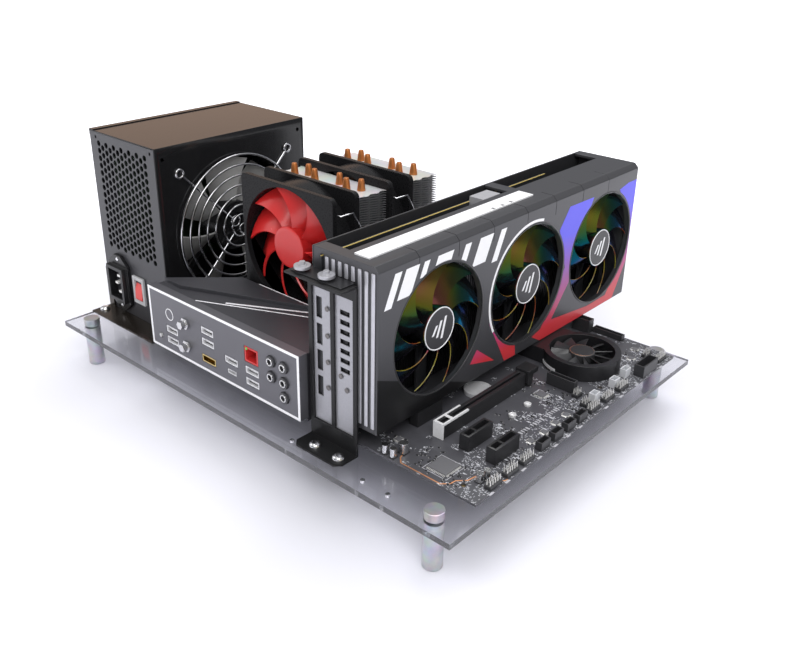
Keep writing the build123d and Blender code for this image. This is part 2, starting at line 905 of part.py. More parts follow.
# Port plate with folded lips, cut out for every port
with BuildPart() as io_shield:
    with BuildSketch(port_plane):
        Rectangle(shield_length, shield_height, align=Align.MIN)
        for place, (width, height) in cavities:
            with Locations(place):
                Rectangle(width + 2 * cutout_margin, height + 2 * cutout_margin, mode=Mode.SUBTRACT)
        with Locations(*jack_places):
            RegularPolygon(jack_radius + cutout_margin, jack_sides, mode=Mode.SUBTRACT)
        with Locations(*antenna_places):
            RegularPolygon(antenna_radius + cutout_margin, small_sides, mode=Mode.SUBTRACT)
        with Locations(button_place):
            RegularPolygon(button_radius + 2 * cutout_margin, small_sides, mode=Mode.SUBTRACT)
    extrude(amount=shield_sheet)
    with BuildSketch(port_plane):
        Rectangle(shield_length, shield_height, align=Align.MIN)
        with Locations((shield_sheet, shield_sheet)):
            Rectangle(
                shield_length - 2 * shield_sheet,
                shield_height - 2 * shield_sheet,
                align=Align.MIN,
                mode=Mode.SUBTRACT,
            )
    extrude(amount=-shield_lip)
io_shield.part.label = "io_shield"
export_step(io_shield.part, "parts/io_shield.step")

# Port housings that stand on the board behind the plate, each cavity with its contact tongue
housing_width = video_size[0] + 2 * port_wall
lip_reach = shield_lip + panel_clearance
lip_cut_height = shield_lift + shield_sheet + panel_clearance
shield_middle = shield_left + shield_length / 2
stand_up = (Align.CENTER, Align.MIN, Align.MIN)
button_length = shield_sheet + button_stand + button_root
button_back = shield_front - button_stand + button_length
button_switch_front = button_back + button_travel + button_switch_gap
with BuildPart() as rear_ports:
    for column, top in (
        (left_usb_column, low_housing_top),
        (video_column, video_housing_top),
        (small_port_column, low_housing_top),
        (lan_column, lan_housing_top),
    ):
        with Locations((shield_left + column, shield_back, board_top)):
            Box(housing_width, housing_depth, shield_lift + top, align=stand_up)
    with Locations((shield_left + button_place[0], button_switch_front, board_top)):
        Box(button_switch_width, button_switch_depth, button_switch_height, align=stand_up)
    with Locations((shield_middle, shield_back, board_top)):
        Box(shield_length, lip_reach, lip_cut_height, align=stand_up, mode=Mode.SUBTRACT)
    for place, (width, height) in cavities:
        with BuildSketch(port_plane):
            with Locations(place):
                Rectangle(width, height)
        extrude(amount=-port_depth, mode=Mode.SUBTRACT)
    with BuildSketch(port_plane.offset(-port_depth)):
        with Locations(*usb_places):
            Rectangle(port_width - 2 * port_wall, port_tongue)
    extrude(amount=port_depth - port_wall)
rear_ports.part.label = "rear_ports"
export_step(rear_ports.part, "parts/rear_ports.step")

# Audio jacks: a block on the board and five bushes that reach through the port plate
jack_block_width = jack_columns[1] - jack_columns[0] + 2 * (jack_radius + port_wall)
jack_block_top = jack_rows[0] + jack_radius + port_wall
with BuildPart() as audio_jacks:
    with Locations((shield_left + sum(jack_columns) / 2, shield_back, board_top)):
        Box(jack_block_width, housing_depth, shield_lift + jack_block_top, align=stand_up)
        Box(jack_block_width, lip_reach, lip_cut_height, align=stand_up, mode=Mode.SUBTRACT)
    with BuildSketch(port_plane):
        with Locations(*jack_places):
            RegularPolygon(jack_radius, jack_sides)
    extrude(amount=shield_sheet + jack_stand)
    with BuildSketch(port_plane.offset(shield_sheet + jack_stand)):
        with Locations(*jack_places):
            RegularPolygon(jack_bore_radius, small_sides)
    extrude(amount=-port_depth, mode=Mode.SUBTRACT)
audio_jacks.part.label = "audio_jacks"
export_step(audio_jacks.part, "parts/audio_jacks.step")

# Antenna sockets: two threaded bushes with hexagon nuts, on one block
antenna_block_width = antenna_flats + 2 * port_wall
antenna_block_top = antenna_rows[0] + antenna_radius + port_wall
with BuildPart() as antenna_sockets:
    with Locations((shield_left + antenna_column, shield_back, board_top)):
        Box(antenna_block_width, housing_depth, shield_lift + antenna_block_top, align=stand_up)
        Box(antenna_block_width, lip_reach, lip_cut_height, align=stand_up, mode=Mode.SUBTRACT)
    with BuildSketch(port_plane):
        with Locations(*antenna_places):
            RegularPolygon(antenna_radius, small_sides)
    extrude(amount=shield_sheet + antenna_stand)
    with BuildSketch(port_plane.offset(shield_sheet)):
        with Locations(*antenna_places):
            RegularPolygon(antenna_flats / 2, small_sides, major_radius=False)
    extrude(amount=antenna_nut_thick)
antenna_sockets.part.label = "antenna_sockets"
export_step(antenna_sockets.part, "parts/antenna_sockets.step")

# Small push button that pokes through the port plate, in front of its switch
with BuildPart() as flash_button:
    with BuildSketch(port_plane.offset(shield_sheet + button_stand)):
        with Locations(button_place):
            RegularPolygon(button_radius, small_sides)
    extrude(amount=-button_length)
flash_button.part.label = "flash_button"
export_step(flash_button.part, "parts/flash_button.step")

# Angular cover over the port housings, open below, with a raised panel along its slanting crease
cover_left = shield_left + shield_sheet
cover_right = shield_right - shield_sheet
cover_front = shield_back + shield_lip
cover_back = cover_front + cover_depth
cover_top = shield_bottom + shield_height - shield_sheet
cover_shoulder = cover_front + cover_shoulder_depth
cover_outline = [
    (cover_left, cover_front),
    (cover_right, cover_front),
    (cover_right, cover_back),
    (cover_left + cover_cut, cover_back),
    (cover_left, cover_shoulder),
]
crease_outline = [
    (cover_left, cover_shoulder),
    (cover_left + crease_start, cover_shoulder),
    (cover_right - cover_cut, cover_back),
    (cover_left + cover_cut, cover_back),
]
with BuildPart() as io_cover:
    with BuildSketch(Plane.XY.offset(board_top)):
        with BuildLine():
            Polyline(*cover_outline, close=True)
        make_face()
    extrude(amount=cover_top - board_top)
    with BuildSketch(Plane.XY.offset(cover_top)):
        with BuildLine():
            Polyline(*crease_outline, close=True)
        make_face()
    extrude(amount=cover_ridge)
    with BuildSketch(Plane.XY.offset(board_top)):
        with BuildLine():
            Polyline(*cover_outline, close=True)
        make_face()
        offset(amount=-cover_wall)
        with Locations((cover_left + cover_wall, cover_front)):
            Rectangle(cover_right - cover_left - 2 * cover_wall, 2 * cover_wall, align=Align.MIN)
    extrude(amount=cover_top - board_top - cover_wall, mode=Mode.SUBTRACT)
io_cover.part.label = "io_cover"
export_step(io_cover.part, "parts/io_cover.step")

# Processor in its socket
with BuildPart() as cpu_socket:
    with Locations((cpu_x, cpu_y, board_top)):
        Box(socket_side, socket_side, socket_height, align=(Align.CENTER, Align.CENTER, Align.MIN))
cpu_socket.part.label = "cpu_socket"
export_step(cpu_socket.part, "parts/cpu_socket.step")

# Memory slots with their end latches, and the modules in every second slot
memory_left = board_left + memory_side_inset
memory_rows = [board_front + memory_front_inset + row * memory_pitch for row in range(memory_count)]
with BuildPart() as memory_slots:
    for row in memory_rows:
        with Locations((memory_left, row, board_top)):
            Box(
                memory_slot_length,
                memory_slot_width,
                memory_slot_height,
                align=(Align.MIN, Align.CENTER, Align.MIN),
            )
        for end in (memory_left, memory_left + memory_slot_length - memory_latch):
            with Locations((end, row, board_top)):
                Box(
                    memory_latch,
                    memory_slot_width,
                    memory_latch_height,
                    align=(Align.MIN, Align.CENTER, Align.MIN),
                )
        with Locations((memory_left + memory_slot_length / 2, row, board_top + memory_slot_height)):
            Box(
                memory_module_length + 2 * memory_play,
                memory_module_thick + 2 * memory_play,
                memory_seat,
                align=(Align.CENTER, Align.CENTER, Align.MAX),
                mode=Mode.SUBTRACT,
            )
memory_slots.part.label = "memory_slots"
export_step(memory_slots.part, "parts/memory_slots.step")

with BuildPart() as memory_modules:
    for row in memory_rows[1::2]:
        foot = board_top + memory_slot_height - memory_seat
        with Locations((memory_left + memory_slot_length / 2, row, foot)):
            Box(
                memory_module_length,
                memory_module_thick,
                memory_module_height,
                align=(Align.CENTER, Align.CENTER, Align.MIN),
            )
memory_modules.part.label = "memory_modules"
export_step(memory_modules.part, "parts/memory_modules.step")

# Card slots: the one that holds the card, the armoured one and the short ones
graphics_slot = slot_body(graphics_slot_x, long_slot_length)
graphics_slot.label = "graphics_slot"
export_step(graphics_slot, "parts/graphics_slot.step")
armoured_slot = slot_body(armoured_slot_x, long_slot_length)
armoured_slot.label = "armoured_slot"
export_step(armoured_slot, "parts/armoured_slot.step")
with BuildPart() as short_slots:
    for step in short_slot_steps:
        add(slot_body(armoured_slot_x + step * slot_pitch, short_slot_length))
short_slots.part.label = "short_slots"
export_step(short_slots.part, "parts/short_slots.step")

# Slot latches: levers on a round foot at the far end of each long slot
latch_pivot_y = board_front + slot_front_inset + long_slot_length + latch_clearance + latch_radius
latch_pivot_z = board_top + latch_clearance + latch_radius
for latch_name, latch_x in (
    ("graphics_slot_latch", graphics_slot_x),
    ("armoured_slot_latch", armoured_slot_x),
):
    with BuildPart() as slot_latch:
        with BuildSketch(Plane.YZ.offset(latch_x - latch_width / 2)):
            with Locations((latch_pivot_y, latch_pivot_z)):
                RegularPolygon(latch_radius, latch_sides)
                Rectangle(2 * latch_radius, latch_reach, align=(Align.CENTER, Align.MIN))
                with Locations((latch_radius, latch_reach)):
                    Rectangle(latch_thumb, latch_thumb_thick, align=(Align.MIN, Align.MAX))
        extrude(amount=latch_width)
    slot_latch.part.label = latch_name
    export_step(slot_latch.part, f"parts/{latch_name}.step")

# Chipset cooler: a round fan well with a wing that reaches under the card
chipset_plane = Plane.XY.offset(board_top)
with BuildPart() as chipset_shroud:
    with BuildSketch(chipset_plane):
        with Locations(chipset_centre):
            RegularPolygon(chipset_radius, chipset_sides)
            Rectangle(
                chipset_radius + chipset_wing_length,
                chipset_wing_width,
                align=(Align.MAX, Align.CENTER),
            )
    extrude(amount=chipset_height)
    with BuildSketch(chipset_plane.offset(chipset_floor)):
        with Locations(chipset_centre):
            RegularPolygon(chipset_bore, chipset_sides, major_radius=False)
    extrude(amount=chipset_height, mode=Mode.SUBTRACT)
chipset_shroud.part.label = "chipset_shroud"
export_step(chipset_shroud.part, "parts/chipset_shroud.step")

chipset_hub_depth = chipset_height - chipset_floor - hub_seat_gap - hub_front_inset
chipset_blade = fan_blade(
    chipset_hub_radius - blade_root_sink, chipset_bore - card_tip_clearance, *chipset_blade_shape
)
chipset_rotor = fan_rotor(
    Plane(origin=(*chipset_centre, board_top + chipset_floor + hub_seat_gap + chipset_hub_depth / 2)),
    chipset_hub_radius,
    chipset_hub_depth,
    chipset_blade,
    chipset_blade_count,
)
chipset_rotor.label = "chipset_rotor"
export_step(chipset_rotor, "parts/chipset_rotor.step")

# Can capacitors along the front edge of the board
with BuildPart() as capacitors:
    for right_inset, front_inset, radius, height in capacitor_spots:
        with BuildSketch(Plane.XY.offset(board_top)):
            with Locations((board_right - right_inset, board_front + front_inset)):
                RegularPolygon(radius, capacitor_sides)
        extrude(amount=height)
capacitors.part.label = "capacitors"
export_step(capacitors.part, "parts/capacitors.step")

# Coin cell lying in its holder between the slots
with BuildPart() as coin_cell:
    with BuildSketch(Plane.XY.offset(board_top)):
        with Locations((board_right - coin_cell_inset_x, board_front + coin_cell_inset_y)):
            RegularPolygon(coin_cell_radius, coin_cell_sides)
    extrude(amount=coin_cell_height)
coin_cell.part.label = "coin_cell"
export_step(coin_cell.part, "parts/coin_cell.step")

# Chips and pin headers
on_board = (Align.CENTER, Align.CENTER, Align.MIN)
with BuildPart() as chips_and_headers:
    for right_inset, front_inset, length, width, height in board_blocks:
        with Locations((board_right - right_inset, board_front + front_inset, board_top)):
            Box(length, width, height, align=on_board)
chips_and_headers.part.label = "chips_and_headers"
export_step(chips_and_headers.part, "parts/chips_and_headers.step")

# Power sockets of the board: the long one on the far edge and the short one by the ports
with BuildPart() as power_sockets:
    with Locations((board_left + main_power_inset[0], board_back - main_power_inset[1], board_top)):
        Box(*main_power_size, align=on_board)
    with Locations((board_left + side_power_inset[0], board_front + side_power_inset[1], board_top)):
        Box(*side_power_size, align=on_board)
power_sockets.part.label = "power_sockets"
export_step(power_sockets.part, "parts/power_sockets.step")

# Finned heat sink over the power stage along the board's left edge
with BuildPart() as power_heatsink:
    with BuildSketch(Plane.XZ.offset(-(cpu_y + power_sink_length / 2))):
        with Locations((board_left + power_sink_inset, board_top)):
            Rectangle(power_sink_width, power_sink_base, align=(Align.CENTER, Align.MIN))
            with GridLocations(power_fin_pitch, 0, power_fin_count, 1):
                Rectangle(power_fin_thick, power_sink_height, align=(Align.CENTER, Align.MIN))
    extrude(amount=power_sink_length)
power_heatsink.part.label = "power_heatsink"
export_step(power_heatsink.part, "parts/power_heatsink.step")

# Cooler base on the processor
base_bottom = board_top + socket_height
base_top = base_bottom + cooler_base_height
with BuildPart() as cooler_base:
    with Locations((cpu_x, cpu_y, base_bottom)):
        Box(
            cooler_base_length,
            cooler_base_width,
            cooler_base_height,
            align=(Align.CENTER, Align.CENTER, Align.MIN),
        )
cooler_base.part.label = "cooler_base"
export_step(cooler_base.part, "parts/cooler_base.step")

# Fin stacks: thin plates with one folded side wall, one stack on each side of the middle fan
stack_bottom = board_top + fin_bottom
stack_top = board_top + fin_top
stack_height = stack_top - stack_bottom
fin_pitch = (stack_height - fin_thick) / (fin_count - 1)
front_stack_start = cpu_y - fan_depth / 2 - fin_depth
rear_stack_start = cpu_y + fan_depth / 2
for stack_name, stack_start in (("front_fins", front_stack_start), ("rear_fins", rear_stack_start)):
    with BuildPart() as fin_stack:
        with BuildSketch(Plane.XZ.offset(-stack_start - fin_depth)):
            with Locations((cpu_x - fin_width / 2, (stack_bottom + stack_top) / 2)):
                Rectangle(fin_side_wall, stack_height, align=(Align.MIN, Align.CENTER))
                with GridLocations(0, fin_pitch, 1, fin_count):
                    Rectangle(fin_width, fin_thick, align=(Align.MIN, Align.CENTER))
        extrude(amount=fin_depth)
    fin_stack.part.label = stack_name
    export_step(fin_stack.part, f"parts/{stack_name}.step")

# Heat pipes: bent runs from the base up to both stacks, and the pointed tips above the top fins
pipe_floor = base_top + pipe_radius
pipe_elbow = pipe_floor + pipe_bend
pipe_mitre = pipe_radius * tan(pi / 8)
front_stack_middle = front_stack_start + fin_depth / 2
rear_stack_middle = rear_stack_start + fin_depth / 2
pipe_runs = []
tip_places = []
for order, spread in enumerate(pipe_spread):
    stagger = pipe_stagger * (1 if order % 2 else -1)
    front_y = front_stack_middle + stagger
    rear_y = rear_stack_middle + stagger
    tip_places += [(cpu_x + spread, front_y), (cpu_x + spread, rear_y)]
    with BuildPart() as pipe_run:
        with BuildSketch(Plane.YZ.offset(cpu_x + spread)):
            with BuildLine():
                Polyline(
                    (front_y - pipe_radius, stack_bottom),
                    (front_y - pipe_radius, pipe_elbow - pipe_mitre),
                    (front_y + pipe_bend - pipe_mitre, pipe_floor - pipe_radius),
                    (rear_y - pipe_bend + pipe_mitre, pipe_floor - pipe_radius),
                    (rear_y + pipe_radius, pipe_elbow - pipe_mitre),
                    (rear_y + pipe_radius, stack_bottom),
                    (rear_y - pipe_radius, stack_bottom),
                    (rear_y - pipe_radius, pipe_elbow + pipe_mitre),
                    (rear_y - pipe_bend - pipe_mitre, pipe_floor + pipe_radius),
                    (front_y + pipe_bend + pipe_mitre, pipe_floor + pipe_radius),
                    (front_y + pipe_radius, pipe_elbow + pipe_mitre),
                    (front_y + pipe_radius, stack_bottom),
                    close=True,
                )
            make_face()
        extrude(amount=pipe_radius, both=True)
        long_edges = pipe_run.faces().filter_by(Axis.X).edges().sort_by(Axis.Z)[:-4]
        chamfer(long_edges, pipe_radius - pipe_mitre)
    pipe_runs.append(pipe_run.part)
with BuildPart() as heat_pipes:
    add(pipe_runs)
    with BuildSketch(Plane.XY.offset(stack_top)):
        with Locations(*tip_places):
            RegularPolygon(pipe_radius, tip_sides)
    extrude(amount=tip_height, taper=tip_taper)
heat_pipes.part.label = "heat_pipes"
export_step(heat_pipes.part, "parts/heat_pipes.step")

# Cooler fans: one in front of the front stack, one between the stacks
fan_z = board_top + fan_lift + fan_size / 2
fan_blade_part = fan_blade(
    fan_hub_radius - blade_root_sink, fan_bore - fan_tip_clearance, *cooler_blade_shape
)
fan_hub_depth = fan_depth - fan_base_thick - hub_seat_gap - hub_front_inset
for fan_name, fan_front in (
    ("front", front_stack_start - fan_depth),
    ("middle", cpu_y - fan_depth / 2),
):
    fan_face = Plane(origin=(cpu_x, fan_front, fan_z), x_dir=(1, 0, 0), z_dir=(0, 1, 0))
    frame_part = fan_frame(fan_face, fan_size, fan_depth, fan_bore, fan_hub_radius)
    frame_part.label = f"{fan_name}_fan_frame"
    export_step(frame_part, f"parts/{fan_name}_fan_frame.step")
    rotor_part = fan_rotor(
        fan_face.offset(hub_front_inset + fan_hub_depth / 2),
        fan_hub_radius,
        fan_hub_depth,
        fan_blade_part,
        fan_blade_count,
    )
    rotor_part.label = f"{fan_name}_rotor"
    export_step(rotor_part, f"parts/{fan_name}_rotor.step")

# Wire clips: a straight run on each side of a fan whose two legs hook into the fins behind it
clip_bottom = board_top + fan_lift + clip_end_margin
clip_height = fan_size - 2 * clip_end_margin
clip_leg = fan_depth - clip_front_inset + clip_hold
with BuildPart() as fan_clips:
    for fan_front in (front_stack_start - fan_depth, cpu_y - fan_depth / 2):
        for side in (-1, 1):
            clip_x = cpu_x + side * (fan_size + clip_wire) / 2
            clip_y = fan_front + clip_front_inset
            hook_reach = (fan_size - fin_width) / 2 + clip_wire
            hook_x = cpu_x + side * (fin_width / 2 + hook_reach / 2)
            with Locations((clip_x, clip_y, clip_bottom)):
                Box(clip_wire, clip_wire, clip_height, align=stand_up)
            for leg_z in (clip_bottom, clip_bottom + clip_height - clip_wire):
                with Locations((clip_x, clip_y, leg_z)):
                    Box(clip_wire, clip_leg, clip_wire, align=stand_up)
                with Locations((hook_x, clip_y + clip_leg, leg_z)):
                    Box(hook_reach, clip_wire, clip_wire, align=(Align.CENTER, Align.MAX, Align.MIN))
fan_clips.part.label = "fan_clips"
export_step(fan_clips.part, "parts/fan_clips.step")

# Graphics card board with its keyed edge that goes into the slot, and the processor package on it
finger_bottom = slot_top - card_finger_reach
card_board_bottom = card_bottom + card_board_margin
card_board_top = card_top - card_board_margin
card_board_left = graphics_slot_x - card_board_thick / 2
card_board_right = graphics_slot_x + card_board_thick / 2
first_fan_y = card_back - card_fan_end_margin - card_fan_radius - 2 * card_fan_pitch
card_fan_z = (card_bottom + card_top) / 2 - card_fan_drop
slot_front = board_front + slot_front_inset
finger_spans = (
    (slot_front + slot_end_wall, slot_front + slot_key_offset),
    (slot_front + slot_key_offset + slot_key, slot_front + long_slot_length - slot_end_wall),
)
with BuildPart() as card_board:
    with BuildSketch(Plane.YZ.offset(card_board_left)):
        with Locations((bracket_back, card_board_bottom)):
            Rectangle(card_board_length, card_board_top - card_board_bottom, align=Align.MIN)
        for start, end in finger_spans:
            with Locations((start + card_finger_side, finger_bottom)):
                Rectangle(
                    end - start - 2 * card_finger_side,
                    card_board_bottom - finger_bottom,
                    align=Align.MIN,
                )
    extrude(amount=card_board_thick)
    with BuildSketch(Plane.YZ.offset(card_board_right)):
        with Locations((first_fan_y + card_fan_pitch / 2, card_fan_z)):
            Rectangle(card_chip_side, card_chip_side)
    extrude(amount=card_chip_thick)
card_board.part.label = "card_board"
export_step(card_board.part, "parts/card_board.step")

# Fin block on the processor package, its fins standing across the card
fin_block_left = card_board_right + card_chip_thick
fin_block_front = card_front + card_fin_end_gap
fin_block_length = card_length - 2 * card_fin_end_gap
fin_block_bottom = card_bottom + card_fin_foot_gap
fin_block_top = card_top - card_fin_head_gap
card_fin_pitch = (fin_block_length - card_fin_thick) / (card_fin_count - 1)
with BuildPart() as card_heatsink:
    with BuildSketch(Plane.XY.offset(fin_block_bottom)):
        with Locations((fin_block_left, fin_block_front)):
            Rectangle(card_fin_base, fin_block_length, align=Align.MIN)
        with Locations((fin_block_left, fin_block_front + fin_block_length / 2)):
            with GridLocations(0, card_fin_pitch, 1, card_fin_count):
                Rectangle(
                    card_fin_base + card_fin_reach, card_fin_thick, align=(Align.MIN, Align.CENTER)
                )
    extrude(amount=fin_block_top - fin_block_bottom)
card_heatsink.part.label = "card_heatsink"
export_step(card_heatsink.part, "parts/card_heatsink.step")

# Fan shroud: a shell open towards the board, with three round openings and open wells in its top
shroud_left = card_left + card_back_thick
shroud_middle = (card_front + card_back) / 2
fan_wells = [(first_fan_y + order * card_fan_pitch, card_fan_z) for order in range(3)]
carrier_right = card_right - card_hub_inset - card_hub_depth - hub_seat_gap
with BuildPart() as card_shroud:
    with BuildSketch(Plane.YZ.offset(shroud_left)):
        with Locations((card_front, card_bottom)):
            Rectangle(card_length, card_height, align=Align.MIN)
    extrude(amount=card_right - shroud_left)
    long_edge = card_shroud.faces().sort_by(Axis.Z)[-1].edges().sort_by(Axis.X)[-1]
    chamfer(long_edge, card_edge_chamfer)
    with BuildSketch(Plane.YZ.offset(shroud_left)):
        with Locations((card_front + card_wall, card_bottom + card_wall)):
            Rectangle(
                card_length - 2 * card_wall,
                card_height - 2 * card_wall,
                align=Align.MIN,
            )
    extrude(amount=card_right - shroud_left - card_face_wall, mode=Mode.SUBTRACT)
    with BuildSketch(Plane.YZ.offset(card_right)):
        with Locations(*fan_wells):
            RegularPolygon(card_fan_radius, opening_sides, major_radius=False)
    extrude(amount=-card_face_wall, mode=Mode.SUBTRACT)
    with BuildSketch(Plane.XY.offset(card_top)):
        with Locations((shroud_left, card_front + well_margin)):
            Rectangle(well_width, near_well_length, align=Align.MIN)
        with Locations((shroud_left, card_back - well_margin)):
            Rectangle(well_width, far_well_length, align=(Align.MIN, Align.MAX))
    extrude(amount=-card_wall, mode=Mode.SUBTRACT)
    with BuildSketch(Plane.XY.offset(card_bottom)):
        with Locations((shroud_left, shroud_middle)):
            Rectangle(well_width, card_length, align=(Align.MIN, Align.CENTER))
    extrude(amount=card_wall, mode=Mode.SUBTRACT)
    with Locations((graphics_slot_x, card_front, card_bottom)):
        Box(
            card_board_thick + 2 * panel_clearance,
            card_wall,
            card_board_top - card_bottom + panel_clearance,
            align=(Align.CENTER, Align.MIN, Align.MIN),
            mode=Mode.SUBTRACT,
        )
    for fan_y, _ in fan_wells:
        with Locations((carrier_right, fan_y, card_bottom)):
            Box(
                carrier_thick,
                carrier_width,
                card_height - card_wall,
                align=(Align.MAX, Align.CENTER, Align.MIN),
            )
card_shroud.part.label = "card_shroud"
export_step(card_shroud.part, "parts/card_shroud.step")

# Three card fans, each hub just in front of its carrier bar
card_blade = fan_blade(
    card_hub_radius - blade_root_sink, card_fan_radius - card_tip_clearance, *card_blade_shape
)
for order, (fan_y, fan_height) in enumerate(fan_wells, start=1):
    rotor_part = fan_rotor(
        Plane(
            origin=(carrier_right + hub_seat_gap + card_hub_depth / 2, fan_y, fan_height),
            x_dir=(0, 1, 0),
            z_dir=(1, 0, 0),
        ),
        card_hub_radius,
        card_hub_depth,
        card_blade,
        card_blade_count,
    )
    rotor_part.label = f"card_rotor_{order}"
    export_step(rotor_part, f"parts/card_rotor_{order}.step")

# Back plate, screwed to the board through four bosses
with BuildPart() as card_backplate:
    with BuildSketch(Plane.YZ.offset(card_left)):
        with Locations((card_front, card_board_bottom)):
            Rectangle(card_length, card_top - card_board_bottom, align=Align.MIN)
    extrude(amount=card_back_thick)
    with BuildSketch(Plane.YZ.offset(shroud_left)):
        with Locations((bracket_back + card_board_length / 2, (card_board_bottom + card_board_top) / 2)):
            with GridLocations(card_boss_pitch_y, card_boss_pitch_z, 2, 2):
                Rectangle(card_boss_side, card_boss_side)
    extrude(amount=card_back_gap)
card_backplate.part.label = "card_backplate"
export_step(card_backplate.part, "parts/card_backplate.step")

# Slot bracket: a sheet behind the frame's windows with a tab bent over the frame's flange
bracket_middle = frame_left + frame_width / 2
bracket_left = bracket_middle - card_bracket_width / 2
with BuildPart() as card_bracket:
    with BuildSketch(Plane.XZ.offset(-bracket_back)):
        with Locations((bracket_middle, board_top + card_bracket_lift)):
            Rectangle(
                card_bracket_width,
                frame_top + card_bracket_thick - board_top - card_bracket_lift,
                align=(Align.CENTER, Align.MIN),
            )
        with Locations((bracket_middle - window_pitch / 2 - display_offset, plate_top + display_middle)):
            with GridLocations(0, display_pitch, 1, 4):
                Rectangle(display_width, display_height, mode=Mode.SUBTRACT)
        with Locations((bracket_middle + window_pitch / 2, plate_top + vent_middle)):
            with GridLocations(0, vent_pitch, 1, vent_rows):
                Rectangle(vent_width, vent_height, mode=Mode.SUBTRACT)
    extrude(amount=card_bracket_thick)
    with Locations((bracket_left - card_tab_left, bracket_back, frame_top)):
        Box(
            card_bracket_width + card_tab_left,
            card_tab_reach + card_bracket_thick,
            card_bracket_thick,
            align=(Align.MIN, Align.MAX, Align.MIN),
        )
card_bracket.part.label = "card_bracket"
export_step(card_bracket.part, "parts/card_bracket.step")

# Thumb screws that clamp the bracket's tab to the flange
with BuildPart() as thumb_screws:
    for start, radius, height in (
        (0, thumb_neck_radius, thumb_neck_height),
        (thumb_neck_height, thumb_head_radius, thumb_head_height),
    ):
        with BuildSketch(Plane.XY.offset(frame_top + card_bracket_thick + start)):
            with Locations((bracket_middle - thumb_shift, upright_front - thumb_inset)):
                with GridLocations(slot_pitch, 0, 2, 1):
                    RegularPolygon(radius, thumb_sides)
        extrude(amount=height)
thumb_screws.part.label = "thumb_screws"
export_step(thumb_screws.part, "parts/thumb_screws.step")

# Polished bars on the card's end, the pale strip along its top, and its power socket
with BuildPart() as card_end_bars:
    with BuildSketch(Plane.XZ.offset(-card_front)):
        bars_span = (end_bar_count - 1) * end_bar_pitch
        bars_middle = card_right - end_bar_margin - end_bar_width / 2 - bars_span / 2
        with Locations((bars_middle, card_bottom + card_height / 2)):
            with GridLocations(end_bar_pitch, 0, end_bar_count, 1):
                Rectangle(end_bar_width, card_height - 2 * end_bar_top_margin)
    extrude(amount=end_bar_stand)
card_end_bars.part.label = "card_end_bars"
export_step(card_end_bars.part, "parts/card_end_bars.step")

with BuildPart() as card_light_strip:
    with Locations((card_right - card_strip_inset, card_front + card_strip_start, card_top)):
        Box(
            card_strip_width,
            card_strip_length,
            card_strip_thick,
            align=(Align.MAX, Align.MIN, Align.MIN),
        )
card_light_strip.part.label = "card_light_strip"
export_step(card_light_strip.part, "parts/card_light_strip.step")

# Power socket at the far end of the near well, just above the fins
power_socket_end = card_front + well_margin + near_well_length - power_socket_end_gap
power_socket_foot = fin_block_top + power_socket_fin_gap
with BuildPart() as card_power_socket:
    with Locations((card_board_right, power_socket_end, power_socket_foot)):
        Box(
            power_socket_width,
            power_socket_length,
            card_top - power_socket_foot,
            align=(Align.MIN, Align.MAX, Align.MIN),
        )
card_power_socket.part.label = "card_power_socket"
export_step(card_power_socket.part, "parts/card_power_socket.step")
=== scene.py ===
import math
import random

import bpy
from mathutils import Matrix, Vector


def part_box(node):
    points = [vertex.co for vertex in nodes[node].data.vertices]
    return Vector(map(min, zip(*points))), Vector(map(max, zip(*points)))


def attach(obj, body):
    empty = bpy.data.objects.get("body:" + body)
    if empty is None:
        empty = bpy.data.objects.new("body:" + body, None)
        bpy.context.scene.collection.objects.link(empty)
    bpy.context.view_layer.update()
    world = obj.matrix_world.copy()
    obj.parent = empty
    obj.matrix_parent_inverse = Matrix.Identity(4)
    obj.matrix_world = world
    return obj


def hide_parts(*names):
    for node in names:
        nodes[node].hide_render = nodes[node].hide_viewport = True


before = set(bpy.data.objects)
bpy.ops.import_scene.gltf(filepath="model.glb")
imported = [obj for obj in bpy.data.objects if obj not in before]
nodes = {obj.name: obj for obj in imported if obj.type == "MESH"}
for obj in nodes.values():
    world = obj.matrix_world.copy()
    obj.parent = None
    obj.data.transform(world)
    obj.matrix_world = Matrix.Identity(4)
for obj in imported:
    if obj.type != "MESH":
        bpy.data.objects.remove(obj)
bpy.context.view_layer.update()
mm = 0.001


# Base plate: a clear, slightly smoky acrylic sheet, saw cut and polished on its edges.
# Its only texture is a faint haze of wiping marks. The shared grain starts here, because
# every surface of the bench wanders a little in colour and gloss.
def fill(tree, node, feeds):
    for name, value in feeds.items():
        socket = node.inputs[name]
        if isinstance(value, bpy.types.NodeSocket):
            tree.links.new(value, socket)
        else:
            socket.default_value = (*value, 1) if socket.type == "RGBA" else value
    return node.outputs


def add_node(tree, kind, feeds=None, **settings):
    node = tree.nodes.new("ShaderNode" + kind)
    for setting, value in settings.items():
        setattr(node, setting, value)
    return fill(tree, node, feeds or {})


def calc(tree, kind, *terms):
    return add_node(tree, "Math", dict(enumerate(terms)), operation=kind)[0]


